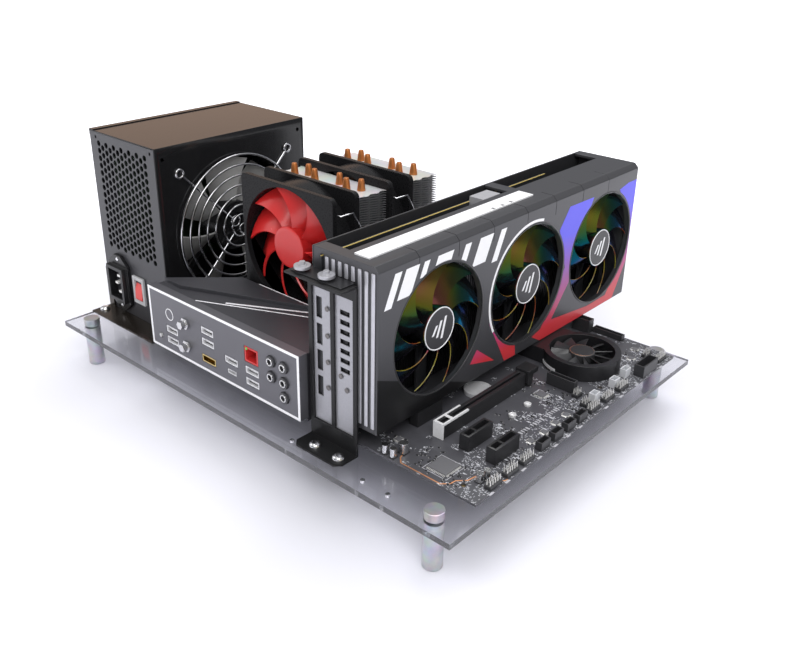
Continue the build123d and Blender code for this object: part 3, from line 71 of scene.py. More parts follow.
grain = bpy.data.node_groups.new("grain", "ShaderNodeTree")
for flow, socket_name, kind in (
    ("INPUT", "Colour", "Color"), ("INPUT", "Scale", "Float"), ("INPUT", "Wander", "Float"),
    ("INPUT", "Roughness", "Float"), ("OUTPUT", "Colour", "Color"), ("OUTPUT", "Roughness", "Float"),
    ("OUTPUT", "Height", "Float"),
):
    grain.interface.new_socket(socket_name, in_out=flow, socket_type="NodeSocket" + kind)
given = grain.nodes.new("NodeGroupInput").outputs
grain_spot = add_node(grain, "TexCoord")["Object"]
noise = add_node(grain, "TexNoise", {"Vector": grain_spot, "Scale": given["Scale"], "Detail": 5})["Fac"]
swing = calc(grain, "MULTIPLY", calc(grain, "SUBTRACT", noise, 0.5), given["Wander"])
gain = calc(grain, "MULTIPLY_ADD", swing, 2, 1)
shade = add_node(grain, "VectorMath", {0: given["Colour"], "Scale": gain}, operation="SCALE")["Vector"]
gloss = add_node(grain, "Math", {0: given["Roughness"], 1: swing}, operation="ADD", use_clamp=True)[0]
fill(grain, grain.nodes.new("NodeGroupOutput"), {"Colour": shade, "Roughness": gloss, "Height": noise})


def finish(material, feeds):
    return fill(material.node_tree, material.node_tree.nodes["Principled BSDF"], feeds)


def surface(name, colour, rough, metal=0.0, scale=300.0, wander=0.12, bump=0.03, coat=0.0):
    material = bpy.data.materials.new(name)
    material.use_nodes = True
    tree = material.node_tree
    feeds = {"Colour": colour, "Scale": scale, "Wander": wander, "Roughness": rough}
    speckle = add_node(tree, "Group", feeds, node_tree=grain)
    relief = add_node(tree, "Bump", {"Strength": bump, "Distance": 0.2 * mm, "Height": speckle["Height"]})
    finish(material, {
        "Metallic": metal, "Coat Weight": coat, "Base Color": speckle["Colour"],
        "Roughness": speckle["Roughness"], "Normal": relief["Normal"],
    })
    return material


def paint(piece, material):
    piece.data.materials.clear()
    piece.data.materials.append(material)
    return piece


acrylic = surface("clear acrylic", (0.86, 0.86, 0.89), 0.02, scale=60, wander=0.03, bump=0.0)
acrylic_tree = acrylic.node_tree
clear = finish(acrylic, {"Transmission Weight": 1, "IOR": 1.49})["BSDF"]
lets_light = add_node(acrylic_tree, "BsdfTransparent", {"Color": (0.72, 0.72, 0.75)})["BSDF"]
in_shadow = add_node(acrylic_tree, "LightPath")["Is Shadow Ray"]
sheet_light = add_node(acrylic_tree, "MixShader", {"Fac": in_shadow, 1: clear, 2: lets_light})["Shader"]
lie = add_node(acrylic_tree, "NewGeometry")["Normal"]
upright = calc(acrylic_tree, "COMPARE", add_node(acrylic_tree, "SeparateXYZ", {0: lie})["Z"], 0, 0.5)
sawn = add_node(acrylic_tree, "BsdfDiffuse", {"Color": (0.40, 0.40, 0.43)})["BSDF"]
haze = calc(acrylic_tree, "MULTIPLY", upright, 0.24)
edged = add_node(acrylic_tree, "MixShader", {"Fac": haze, 1: sheet_light, 2: sawn})["Shader"]
fill(acrylic_tree, acrylic_tree.nodes["Material Output"], {"Surface": edged})
paint(nodes["base_plate"], acrylic)


# Feet: turned aluminium posts under the plate with caps of the same width above it,
# held by a stud through the plate. Bead blasted and clear anodised, so a little pearly.
def deselect():
    bpy.ops.object.select_all(action="DESELECT")


def only(piece):
    deselect()
    piece.select_set(True)
    bpy.context.view_layer.objects.active = piece


def settle(name):
    bpy.ops.object.transform_apply(location=True, rotation=True, scale=True)
    piece = bpy.context.object
    piece.name = piece.data.name = name
    return piece


along = {"X": (0, math.pi / 2, 0), "Y": (math.pi / 2, 0, 0), "Z": (0, 0, 0)}


def round_bar(name, radius, centre, depth, axis="Z", sides=48):
    deselect()
    bpy.ops.mesh.primitive_cylinder_add(
        vertices=sides, radius=radius, depth=depth, location=centre, rotation=along[axis]
    )
    return settle(name)


def edit(piece, mode):
    only(piece)
    bpy.ops.object.mode_set(mode="EDIT")
    bpy.ops.mesh.select_mode(type=mode)
    bpy.ops.mesh.select_all(action="DESELECT")


def done():
    bpy.ops.object.mode_set(mode="OBJECT")


def pick(piece, test):
    edit(piece, "FACE")
    done()
    for face in piece.data.polygons:
        face.select = test(face.center, face.normal)
    bpy.ops.object.mode_set(mode="EDIT")


def take_side(piece, side):
    sign, axis = (1 if side[0] == "+" else -1), "XYZ".index(side[1])
    pick(piece, lambda centre, normal: sign * normal[axis] > 0.9)


def pull(x=0, y=0, z=0):
    bpy.ops.mesh.extrude_region_move(TRANSFORM_OT_translate={"value": (x, y, z)})


def apply(piece, kind, **settings):
    only(piece)
    modifier = piece.modifiers.new("step", kind)
    for setting, value in settings.items():
        setattr(modifier, setting, value)
    bpy.ops.object.modifier_apply(modifier=modifier.name)
    return piece


def smooth(piece, angle):
    only(piece)
    bpy.ops.object.shade_smooth_by_angle(angle=math.radians(angle))
    return piece


def crisp(piece, angle=35):
    return apply(smooth(piece, angle), "WEIGHTED_NORMAL", keep_sharp=True)


def soften(piece, width, segments=2, angle=35):
    limit = math.radians(angle)
    apply(piece, "BEVEL", width=width, segments=segments, limit_method="ANGLE", angle_limit=limit)
    return crisp(piece)


def again(piece, name, place):
    twin = piece.copy()
    twin.data = piece.data.copy()
    twin.name = twin.data.name = name
    bpy.context.scene.collection.objects.link(twin)
    twin.data.transform(place)
    return twin


def join(pieces, name):
    only(pieces[0])
    for piece in pieces:
        piece.select_set(True)
    bpy.ops.object.join()
    pieces[0].name = pieces[0].data.name = name
    return pieces[0]


def spread(piece, name, places):
    copies = [again(piece, name, place) for place in places]
    bpy.data.objects.remove(piece)
    return join(copies, name)


def fit(piece, material, body="bench", stands_for=()):
    if material:
        paint(piece, material)
    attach(piece, body)
    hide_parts(*stands_for)
    return piece


def place_mm(tree):
    spot = add_node(tree, "TexCoord")["Object"]
    return add_node(tree, "VectorMath", {0: spot, "Scale": 1000}, operation="SCALE")["Vector"]


def cloud(tree, scale, detail=2):
    return add_node(tree, "TexNoise", {"Vector": place_mm(tree), "Scale": scale, "Detail": detail})


def blend(tree, factor, first, second):
    return add_node(tree, "Mix", {"Factor": factor, 6: first, 7: second}, data_type="RGBA")[2]


def repaint(material, factor, colour):
    tree = material.node_tree
    before = tree.nodes["Principled BSDF"].inputs["Base Color"].links[0].from_socket
    finish(material, {"Base Color": blend(tree, factor, before, colour)})


post_low, post_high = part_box("foot_posts")
cap_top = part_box("foot_caps")[1].z
foot_radius = 6.2 * mm
stud_radius = 3 * mm
cap_height = 5.8 * mm
cap_widening = foot_radius / stud_radius
foot = round_bar("foot", foot_radius, (0, 0, post_high.z / 2), post_high.z, sides=64)
take_side(foot, "+Z")
bpy.ops.mesh.inset(thickness=foot_radius - stud_radius)
pull(z=cap_top - cap_height - post_high.z)
pull()
bpy.ops.transform.resize(value=(cap_widening, cap_widening, 1))
pull(z=cap_height)
done()
soften(foot, 0.45 * mm)
pearl = surface("pearly aluminium", (0.52, 0.53, 0.57), 0.30, metal=0.85, scale=900, wander=0.08, bump=0.0)
repaint(pearl, 0.3, cloud(pearl.node_tree, scale=0.12)["Color"])
foot_places = [
    Matrix.Translation((side * (post_high.x - foot_radius), y, 0))
    for y in (post_low.y + foot_radius, post_high.y - foot_radius)
    for side in (-1, 1)
]
feet = spread(foot, "turned_feet", foot_places)
fit(feet, pearl, stands_for=("foot_posts", "foot_caps"))


# Slot frame: one black sheet, punched with two windows, folded twice and powder coated.
# Two bright button head screws hold its foot to the plate.
def outward():
    bpy.ops.mesh.select_all(action="SELECT")
    bpy.ops.mesh.normals_make_consistent(inside=False)
    done()


def refine(node, width, material, body="bench"):
    piece = bpy.data.objects.new(node + "_edged", nodes[node].data.copy())
    bpy.context.scene.collection.objects.link(piece)
    only(piece)
    bpy.ops.mesh.customdata_custom_splitnormals_clear()
    bpy.ops.object.mode_set(mode="EDIT")
    bpy.ops.mesh.select_all(action="SELECT")
    bpy.ops.mesh.remove_doubles(threshold=0.01 * mm)
    bpy.ops.mesh.dissolve_limited(angle_limit=math.radians(1))
    outward()
    return fit(soften(piece, width), material, body, (node,))


def dome_head(radius, rim, rise):
    head = round_bar("head", radius, (0, 0, rim / 2), rim, sides=40)
    take_side(head, "+Z")
    for share, shrink in ((0.45, 0.90), (0.33, 0.80), (0.22, 0.55)):
        pull(z=rise * share)
        bpy.ops.transform.resize(value=(shrink, shrink, 1))
    done()
    return crisp(head, 40)


def at(x, y, z):
    return Matrix.Translation((x * mm, y * mm, z * mm))


def button_screws(name, *spots):
    sheet_top = 35.5
    head = dome_head(radius=4.1 * mm, rim=0.6 * mm, rise=2.0 * mm)
    screws = spread(head, name, [at(x, y, sheet_top) for x, y in spots])
    return fit(screws, bright_steel)


powder = surface("black powder coat", (0.011, 0.011, 0.012), 0.40, scale=1500, wander=0.10, bump=0.12)
finish(powder, {"Specular IOR Level": 0.3})
refine("slot_frame", 0.35 * mm, powder)
bright_steel = surface("bright screw steel", (0.78, 0.78, 0.80), 0.16, metal=1, scale=500, wander=0.06)
button_screws("button_screws", (79.6, -149), (100.2, -149))


# Power supply bracket: folded steel with a dark, glossy lacquer whose brownish tint is a painted reflection
# of the brown wall, held to the plate by one button head screw at its outer corner.
lacquer = surface("black lacquer, painted brown reflection", (0.060, 0.050, 0.043), 0.22, metal=0.7, scale=800, wander=0.1)
refine("psu_bracket", 0.3 * mm, lacquer)
button_screws("bracket_screw", (-193.8, -130))


# Power supply case: painted sheet tray and cover, folded from two blanks. The front is drilled
# with a hexagonal field of air holes, and the fan side has a round opening.
def block(name, low, high):
    low, high = Vector(low), Vector(high)
    deselect()
    bpy.ops.mesh.primitive_cube_add(size=1, location=(low + high) / 2)
    bpy.context.object.scale = high - low
    return settle(name)


def folded_sheet(name, low, high, is_open):
    piece = block(name, low, high)
    pick(piece, is_open)
    bpy.ops.mesh.delete(type="FACE")
    done()
    return apply(piece, "SOLIDIFY", thickness=1 * mm, offset=-1)


def cut(piece, tool, kind="DIFFERENCE"):
    apply(piece, "BOOLEAN", operation=kind, solver="EXACT", object=tool)
    bpy.data.objects.remove(tool)
    return piece


def row(piece, count, step):
    return apply(
        piece, "ARRAY", count=count, use_relative_offset=False, use_constant_offset=True,
        constant_offset_displace=step,
    )


psu_paint = surface(
    "satin grey paint", (0.046, 0.046, 0.052), 0.38, metal=0.25, scale=1200, wander=0.08, bump=0.06
)
psu_gloss = surface(
    "glossy black paint", (0.013, 0.013, 0.014), 0.15, metal=0.2, scale=120, wander=0.05, bump=0.01
)
tray_low, tray_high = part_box("psu_tray")
tray = folded_sheet(
    "psu_tray_sheet", tray_low, tray_high, lambda centre, normal: abs(normal.z) > 0.9 or normal.x > 0.9
)
pitch, air_hole, screw_hole, drill_depth = 5.9 * mm, 2.35 * mm, 1.3 * mm, 6 * mm
column_step = pitch * math.sqrt(3) / 2
field_x, field_z = tray_low.x + 11.5 * mm, tray_low.z + 57.3 * mm
drills = []
for first, columns, rows in ((0, 7, 15), (1, 6, 14)):
    start = (field_x + first * column_step, tray_low.y, field_z + first * pitch / 2)
    drill = row(round_bar("drill", air_hole, start, drill_depth, "Y", 12), rows, (0, 0, pitch))
    drills.append(row(drill, columns, (2 * column_step, 0, 0)))
screw_z = tray_high.z - 3.6 * mm
for screw_x in (tray_low.x + 8 * mm, tray_high.x - 5 * mm):
    drills.append(round_bar("drill", screw_hole, (screw_x, tray_low.y, screw_z), drill_depth, "Y", 16))
cut(tray, join(drills, "air_field"))
fit(tray, psu_paint, stands_for=("psu_tray",))
cover_low, cover_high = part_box("psu_cover")
fan_y, fan_z = (cover_low.y + cover_high.y) / 2, (cover_low.z + cover_high.z) / 2
cover = folded_sheet(
    "psu_cover_sheet", cover_low, cover_high, lambda centre, normal: abs(normal.y) > 0.9 or normal.x < -0.9
)
soften(cover, 0.45 * mm, angle=60)
corner, fan_opening, fan_screw_hole, cut_depth = 66 * mm, 57 * mm, 1.6 * mm, 8 * mm
holes = [round_bar("hole", fan_opening, (cover_high.x, fan_y, fan_z), cut_depth, "X", 96)]
for side in (-1, 1):
    for level in (-1, 1):
        spot = (cover_high.x, fan_y + side * corner, fan_z + level * corner)
        holes.append(round_bar("hole", fan_screw_hole, spot, cut_depth, "X", 16))
cut(cover, join(holes, "openings"))
fit(cover, psu_gloss, stands_for=("psu_cover",))
lip_thick, lip_rise, lip_width, lip_drop = 0.3 * mm, 0.7 * mm, 5 * mm, 4 * mm
lip_end = cover_low.x - lip_thick
lip_corner = (cover_low.x + lip_width, cover_high.y, cover_high.z + lip_rise)
lip = block("tray_lip", (lip_end, cover_low.y, cover_high.z), lip_corner)
take_side(lip, "-X")
pull(x=-lip_thick)
done()
pick(lip, lambda centre, normal: normal.z < -0.9 and centre.x < lip_end)
pull(z=-lip_drop)
done()
fit(soften(lip, 0.15 * mm), psu_gloss)


# Power supply fan guard: round chromed wire, seven rings spot welded on four arms whose ends
# curl into screw eyes. The frame behind it is black moulded plastic.
def wire_ring(radius, wire, centre, axis, segments=72):
    deselect()
    bpy.ops.mesh.primitive_torus_add(
        location=centre, rotation=along[axis], major_segments=segments, minor_segments=8,
        major_radius=radius, minor_radius=wire,
    )
    return settle("ring")


def turned(degrees, axis):
    return Matrix.Rotation(math.radians(degrees), 4, axis)


black_plastic = surface(
    "black moulded plastic", (0.012, 0.012, 0.013), 0.24, scale=900, wander=0.10, bump=0.06
)
finish(black_plastic, {"Specular IOR Level": 0.38})
refine("psu_fan_frame", 0.4 * mm, black_plastic)
chrome = surface("bright wire", (0.58, 0.58, 0.60), 0.14, metal=1, scale=400, wander=0.06, bump=0.0)
guard_x, arm_x = -111.25 * mm, -113.1 * mm
guard_wire = 0.9 * mm
first_ring, ring_gap = 9 * mm, 8.1 * mm
arm_middle, arm_length, eye_reach, eye_radius = 40.5 * mm, 63 * mm, 75 * mm, 3.2 * mm
wires = []
for step in range(7):
    wires.append(wire_ring(first_ring + ring_gap * step, guard_wire, (guard_x, fan_y, fan_z), "X"))
for turn in range(4):
    arm = [round_bar("arm", guard_wire, (0, 0, arm_middle), arm_length, "Z", 12)]
    arm.append(wire_ring(eye_radius, guard_wire, (0, 0, eye_reach), "X", 24))
    if turn % 2 == 0:
        arm.append(wire_ring(4.2 * mm, 0.8 * mm, (0, 0, 5.6 * mm), "X", 24))
    arm = join(arm, "arm")
    arm.data.transform(Matrix.Translation((arm_x, fan_y, fan_z)) @ turned(45 + 90 * turn, "X"))
    wires.append(arm)
fit(smooth(join(wires, "wire_guard"), 50), chrome, stands_for=("psu_guard",))


# Mains inlet and switch: a black moulded inlet with three tinned pins and two ear screws,
# and a red rocker that tilts in a pale snap-in bezel.
refine("psu_inlet", 0.45 * mm, black_plastic)
tinned = surface("tinned contact", (0.90, 0.89, 0.87), 0.25, metal=0.2)
inlet_pins = refine("psu_inlet_pins", 0.25 * mm, tinned)
inlet_low, inlet_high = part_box("psu_inlet")
pin_tip = inlet_low.y + 2.5 * mm
take_side(inlet_pins, "-Y")
bpy.ops.transform.translate(value=(0, pin_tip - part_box("psu_inlet_pins")[0].y, 0))
done()
ear_screw = dome_head(radius=1.9 * mm, rim=0.3 * mm, rise=0.7 * mm)
ear_screw.data.transform(turned(90, "X"))
ear_x, ear_y, ear_inset = (inlet_low.x + inlet_high.x) / 2, inlet_low.y + 4.6 * mm, 3.6 * mm
ear_levels = (inlet_low.z + ear_inset, inlet_high.z - ear_inset)
ears = spread(ear_screw, "inlet_ear_screws", [Matrix.Translation((ear_x, ear_y, z)) for z in ear_levels])
fit(ears, bright_steel)
refine("psu_switch_bezel", 0.3 * mm, surface("pale bezel plastic", (0.46, 0.46, 0.47), 0.4))
rocker_red = surface("red rocker plastic", (0.66, 0.028, 0.022), 0.30, coat=0.2)
refine("psu_rocker", 0.4 * mm, rocker_red, "rocker")
paint(nodes["psu_board"], surface("dark circuit laminate", (0.03, 0.05, 0.03), 0.5))


# Fans: each rotor is one moulding, a cup shaped hub with swept and twisted blades.
# A blade is a radial edge spun into a sector. Its columns are lifted into a screw
# surface, its rings are turned into the sweep, and then it gets its wall.
def choose(piece, test):
    bpy.ops.mesh.select_all(action="DESELECT")
    done()
    for vertex in piece.data.vertices:
        vertex.select = test(vertex.co)
    bpy.ops.object.mode_set(mode="EDIT")


def fan_blade(root, tip, span, rise, sweep, camber, thick):
    rings, columns, curl = 8, 6, 1.3
    deselect()
    bpy.ops.mesh.primitive_grid_add(x_subdivisions=rings, y_subdivisions=1, size=1)
    bpy.context.object.scale = (tip - root, mm, 1)
    bpy.context.object.location = ((root + tip) / 2, mm / 2, 0)
    blade = settle("blade")
    edit(blade, "VERT")
    choose(blade, lambda spot: spot.y > mm / 2)
    bpy.ops.mesh.delete(type="VERT")
    bpy.ops.mesh.select_all(action="SELECT")
    bpy.ops.mesh.spin(steps=columns, angle=math.radians(span), center=(0, 0, 0), axis=(0, 0, 1))
    near = 0.4 * span / columns
    for column in range(columns + 1):
        share = column / columns
        angle = span * share
        choose(blade, lambda spot: abs(abs(math.degrees(math.atan2(spot.y, spot.x))) - angle) < near)
        lift = rise * (share - 0.5) + camber * math.sin(math.pi * share)
        bpy.ops.transform.translate(value=(0, 0, lift))
    for ring in range(rings + 1):
        reach = root + (tip - root) * ring / rings
        choose(blade, lambda spot: abs(spot.xy.length - reach) < 0.02 * mm)
        turn = math.radians(sweep) * (ring / rings) ** curl
        bpy.ops.transform.rotate(value=turn, orient_axis="Z", center_override=(0, 0, 0))
    outward()
    return smooth(apply(blade, "SOLIDIFY", thickness=thick, offset=0), 50)


def dish(piece, rim, depth, *edge):
    take_side(piece, "+Z")
    bpy.ops.mesh.inset(thickness=rim)
    bpy.ops.transform.translate(value=(0, 0, depth))
    done()
    return soften(piece, *edge)


def rotor(name, hub_radius, hub_depth, dome, blade, count):
    hub = round_bar("hub", hub_radius, (0, 0, 0), hub_depth, sides=64)
    dish(hub, hub_radius * 0.2, dome, 0.5 * mm, 3, 20)
    blades = spread(blade, "blades", [turned(360 * number / count, "Z") for number in range(count)])
    return join([hub, blades], name)


def middle(node):
    low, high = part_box(node)
    return (low + high) / 2


towards = {"X": turned(90, "Y"), "Y": turned(90, "X"), "Z": Matrix()}


def facing(node, axis):
    return Matrix.Translation(middle(node)) @ towards[axis]


def two_tone(piece, main, other, is_other):
    piece.data.materials.append(main)
    piece.data.materials.append(other)
    for face in piece.data.polygons:
        face.material_index = int(is_other(face.center, face.normal))


grey_blades = surface("grey fan plastic", (0.36, 0.355, 0.35), 0.45, scale=500)
psu_blade = fan_blade(
    root=19 * mm, tip=54.5 * mm, span=33, rise=15 * mm, sweep=10, camber=1 * mm, thick=1.4 * mm
)
psu_hub = 20 * mm
psu_rotor = rotor("psu_fan_rotor", psu_hub, hub_depth=20 * mm, dome=0.3 * mm, blade=psu_blade, count=7)
two_tone(psu_rotor, grey_blades, black_plastic, lambda centre, normal: centre.xy.length < psu_hub + 0.2 * mm)
psu_rotor.data.transform(facing("psu_rotor", "X"))
fit(psu_rotor, None, "psu_fan", ("psu_rotor",))


# Main board: a dark lacquered laminate. The pale printing is in the material: small bricks,
# some of them white, thick along the edges and in a few fields, as part outlines are.
def axes_mm(tree):
    return add_node(tree, "SeparateXYZ", {0: place_mm(tree)})


def mask(tree, axis, kind, *limits):
    return calc(tree, kind, axes_mm(tree)[axis], *limits)


def slope(tree, value, start, steepness, top=1):
    raised = calc(tree, "MULTIPLY", calc(tree, "SUBTRACT", value, start), steepness)
    return calc(tree, "MINIMUM", calc(tree, "MAXIMUM", raised, 0), top)


board_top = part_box("motherboard")[1].z
board_paint = surface("dark board lacquer", (0.074, 0.074, 0.084), 0.34, scale=120, wander=0.16)
board_tree = board_paint.node_tree
board_spot, board_face, crowded = place_mm(board_tree), 41.5, 0.575
edge_gain = slope(board_tree, axes_mm(board_tree)["X"], start=150, steepness=0.006, top=0.22)
crowd = calc(board_tree, "ADD", cloud(board_tree, scale=0.07, detail=1)["Fac"], edge_gain)
busy = calc(board_tree, "GREATER_THAN", crowd, crowded)
on_face = mask(board_tree, "Z", "GREATER_THAN", board_face)
for width, height, needed, tilt in ((1.5, 0.7, 0.84, 0), (0.6, 1.7, 0.87, 0.37), (3.0, 1.3, 0.94, 0.11)):
    shifted = add_node(board_tree, "VectorMath", {0: board_spot, 1: (tilt, tilt * 2, 0)})["Vector"]
    marks = add_node(board_tree, "TexBrick", {
        "Vector": shifted, "Color1": (0, 0, 0), "Color2": (1, 1, 1), "Mortar": (0, 0, 0), "Scale": 1,
        "Mortar Size": 0.16, "Brick Width": width, "Row Height": height,
    })["Color"]
    shown = calc(board_tree, "MULTIPLY", calc(board_tree, "GREATER_THAN", marks, needed), busy)
    repaint(board_paint, calc(board_tree, "MULTIPLY", shown, on_face), (0.56, 0.57, 0.61))
paint(nodes["motherboard"], board_paint)
brass = surface("standoff brass", (0.62, 0.46, 0.20), 0.32, metal=1, scale=500)
refine("board_standoffs", 0.25 * mm, brass)


# Small board parts: soldered chips, pin headers, fan sockets, cans and nuts, each modelled once
# and set in its place by the placing machine. Fine print lies round them.
def taper(piece, side, x=1, y=1):
    take_side(piece, side)
    bpy.ops.transform.resize(value=(x, y, 1))
    done()
    return piece


def pocket(piece, side, wall, y=0, z=0):
    take_side(piece, side)
    bpy.ops.mesh.inset(thickness=wall)
    pull(y=y, z=z)
    done()
    return piece


def leaded_chip(side, height, leads):
    body = block("chip_body", (-side / 2, -side / 2, 0.15 * mm), (side / 2, side / 2, height))
    paint(dish(body, 0.5 * mm, 0.08 * mm, 0.12 * mm), chip_grey)
    half = 0.18 * mm
    lead = block("lead", (side / 2 - 0.1 * mm, -half, 0), (side / 2 + 1.1 * mm, half, 0.3 * mm))
    take_side(lead, "-X")
    bpy.ops.transform.translate(value=(0, 0, height * 0.4))
    done()
    step = (side - 1.2 * mm) / (leads - 1)
    row(paint(lead, pin_metal), leads, (0, step, 0))
    lead.data.transform(Matrix.Translation((0, -step * (leads - 1) / 2, 0)))
    return join([body, spread(lead, "leads", [turned(90 * quarter, "Z") for quarter in range(4)])], "chip")


def pin_header(columns, rows):
    step, base_height, pin_height, half = 2.4 * mm, 2.6 * mm, 6.4 * mm, 0.32 * mm
    corner = Vector((columns * step / 2, rows * step / 2, 0))
    base = soften(block("header_base", -corner, corner + Vector((0, 0, base_height))), 0.3 * mm)
    paint(base, chip_black)
    pin = taper(block("pin", (-half, -half, base_height), (half, half, pin_height)), "+Z", 0.5, 0.5)
    paint(pin, pin_metal)
    pin.data.transform(Matrix.Translation((step / 2 - corner.x, step / 2 - corner.y, 0)))
    row(pin, columns, (step, 0, 0))
    row(pin, rows, (0, step, 0))
    return join([base, pin], "header")


def shell_header(size, wall):
    wide, deep, high = (length * mm for length in size)
    shell = block("shell_body", (-wide / 2, -deep / 2, 0), (wide / 2, deep / 2, high))
    return soften(pocket(shell, "+Z", wall * mm, z=-0.75 * high), 0.2 * mm)


def spot_on_board(x, y):
    return Matrix.Translation((x * mm, y * mm, board_top))


def stand(piece, name, *spots):
    return spread(piece, name, [spot_on_board(x, y) for x, y in spots])


chip_grey = surface("printed chip epoxy", (0.13, 0.13, 0.14), 0.40, scale=900, wander=0.14)
chip_black = surface("chip epoxy", (0.030, 0.030, 0.033), 0.42, scale=900, wander=0.14)
pin_metal = surface("bright pins", (0.86, 0.85, 0.83), 0.25, metal=0.4)
white_nylon = surface("white nylon", (0.62, 0.63, 0.66), 0.4)
silk = surface("white silk print", (0.42, 0.42, 0.45), 0.5)
sound_spot, clock_spot = (159.2, -118.6), (154.5, -6.5)
sound_chip = stand(leaded_chip(side=14 * mm, height=1.5 * mm, leads=14), "sound_chip", sound_spot)
fit(sound_chip, None, stands_for=("chips_and_headers",))
clock_chip = stand(leaded_chip(side=7 * mm, height=1.2 * mm, leads=8), "clock_chip", clock_spot)
fit(clock_chip, None)
drivers = stand(
    leaded_chip(side=4.2 * mm, height=1 * mm, leads=5), "driver_chips",
    (181.8, -59.7), (182, -45.1), (181.3, -30.8), (180.9, -17.4), (173.4, 84), (168.5, 99.5), (120, -115),
)
fit(drivers, None)
long_headers = stand(
    pin_header(columns=2, rows=5), "long_headers",
    (191.5, -113), (191.5, -96), (191.5, -79), (190.3, 1), (190.3, 20), (190.3, 39.5), (190, 97),
)
short_headers = stand(pin_header(columns=2, rows=3), "short_headers", (180, 95), (173, 9), (183.5, 2.5))
fit(join([long_headers, short_headers], "pin_headers"), None)
shells = []
for size, wall, spots in (
    ((5, 10, 6), 0.8, ((190.5, -60), (190.5, -45), (190.5, -30), (190.5, -16))),
    ((8, 21, 9), 1, ((190.5, 73.3),)),
    ((22, 5, 9), 0.9, ((159, 11.5),)),
    ((15, 7, 11), 1, ((121.5, 101.5),)),
    ((25, 5, 4.5), 0.9, ((142, 106.5),)),
):
    shells.append(stand(shell_header(size, wall), "shell", *spots))
fit(join(shells, "shrouded_headers"), chip_black)
fan_socket = shell_header(size=(5, 7, 6.5), wall=0.7)
sockets = stand(fan_socket, "fan_sockets", (184.4, 12), (184.4, 39), (182.8, 57.5))
fit(sockets, white_nylon)
can_metal = surface("capacitor can", (0.72, 0.72, 0.73), 0.22, metal=1)
cans = []
for x, y, radius, height in (
    (123.5, -131.5, 2.2, 6.5), (130, -131.5, 2.2, 6.5), (131.5, -123.5, 2.9, 7.5), (183.6, -115.5, 2.4, 6.5),
    (184.6, -109.8, 2.2, 6.3),
):
    radius, height = radius * mm, height * mm
    can = round_bar("can", radius, (0, 0, height / 2), height, sides=32)
    paint(dish(can, 0.35 * mm, -0.15 * mm, 0.3 * mm), can_metal)
    seat = soften(block("seat", (-radius, -radius, 0), (radius, radius, 0.9 * mm)), 0.3 * mm)
    cans.append(stand(join([can, paint(seat, chip_black)], "can"), "standing_can", (x, y)))
fit(join(cans, "capacitor_cans"), None, stands_for=("capacitors",))
nut = round_bar("nut", 2.6 * mm, (0, 0, 0.9 * mm), 1.8 * mm, sides=24)
soften(pocket(nut, "+Z", 1.0 * mm, z=-1.0 * mm), 0.2 * mm)
nut_nickel = surface("nut nickel", (0.85, 0.85, 0.86), 0.25, metal=0.4)
fit(stand(nut, "module_nuts", (155.4, -24.7), (155.8, -43)), nut_nickel)
cell_thick = 3.2 * mm
cell_spot = (120.5 * mm, -33.5 * mm, board_top + cell_thick / 2)
cell = round_bar("cell", 10 * mm, cell_spot, cell_thick, sides=64)
dish(cell, 1.2 * mm, -0.2 * mm, 0.25 * mm)
cell_steel = surface("coin cell steel", (0.80, 0.80, 0.82), 0.25, metal=0.4)
fit(cell, cell_steel, stands_for=("coin_cell",))
random.seed(7)
resistor = block("resistor", (-0.8 * mm, -0.4 * mm, 0), (0.8 * mm, 0.4 * mm, 0.5 * mm))
pick(resistor, lambda centre, normal: abs(normal.x) > 0.9)
bpy.ops.mesh.inset(thickness=0.06 * mm)
done()
two_tone(resistor, chip_black, pin_metal, lambda centre, normal: abs(centre.x) > 0.7 * mm)
scatter = []
for middle_x, middle_y, wide, deep, count in (
    (148, -118, 9, 14, 26), (170, -120, 7, 12, 22), (184, -97, 4, 30, 24), (156, -4, 14, 12, 34),
    (180, 4, 6, 14, 18), (182, 48, 5, 12, 16), (176, 92, 10, 10, 28), (185, -38, 3, 26, 22),
    (150, -60, 8, 24, 14), (118, -118, 8, 8, 14), (168, -52, 6, 20, 14), (-60, 85, 30, 12, 20),
    (60, 60, 10, 30, 16),
):
    for number in range(count):
        x, y = middle_x + random.uniform(-wide, wide), middle_y + random.uniform(-deep, deep)
        scatter.append(spot_on_board(x, y) @ turned(random.choice((0, 90)), "Z"))
fit(spread(resistor, "small_resistors", scatter), None)


def line_through(points):
    deselect()
    bpy.ops.mesh.primitive_plane_add(size=mm)
    bpy.ops.object.mode_set(mode="EDIT")
    bpy.ops.mesh.select_mode(type="VERT")
    bpy.ops.mesh.select_all(action="SELECT")
    bpy.ops.mesh.merge(type="CENTER")
    bpy.ops.transform.translate(value=points[0])
    for start, end in zip(points, points[1:]):
        pull(*(Vector(end) - Vector(start)))


def wire(points, thick, flat=1.0):
    line_through(points)
    done()
    bpy.ops.object.convert(target="CURVE")
    curve = bpy.context.object.data
    curve.bevel_depth = thick
    curve.bevel_resolution = 2
    curve.use_fill_caps = True
    bpy.ops.object.convert(target="MESH")
    piece = settle("wire")
    if flat != 1.0:
        base = Matrix.Translation((0, 0, points[0][2]))
        piece.data.transform(base @ Matrix.Diagonal((1, 1, flat, 1)) @ base.inverted())
    return smooth(piece, 50)


trace_copper = surface("bare copper trace", (0.58, 0.26, 0.12), 0.4, metal=0.5)
traces = []
for points in (
    ((132.6, -126), (133.4, -128.6), (137.4, -132.8), (168, -132.8), (172.2, -128.6), (172.6, -124.4),
     (177.6, -119.2), (178.6, -112.5)),
    ((188, -108), (193.6, -104.6), (194, -102)),
):
    traces.append(wire([(x * mm, y * mm, board_top) for x, y in points], 0.45 * mm, 0.2))
fit(join(traces, "sound_trace"), trace_copper)
ink_height = 0.05 * mm


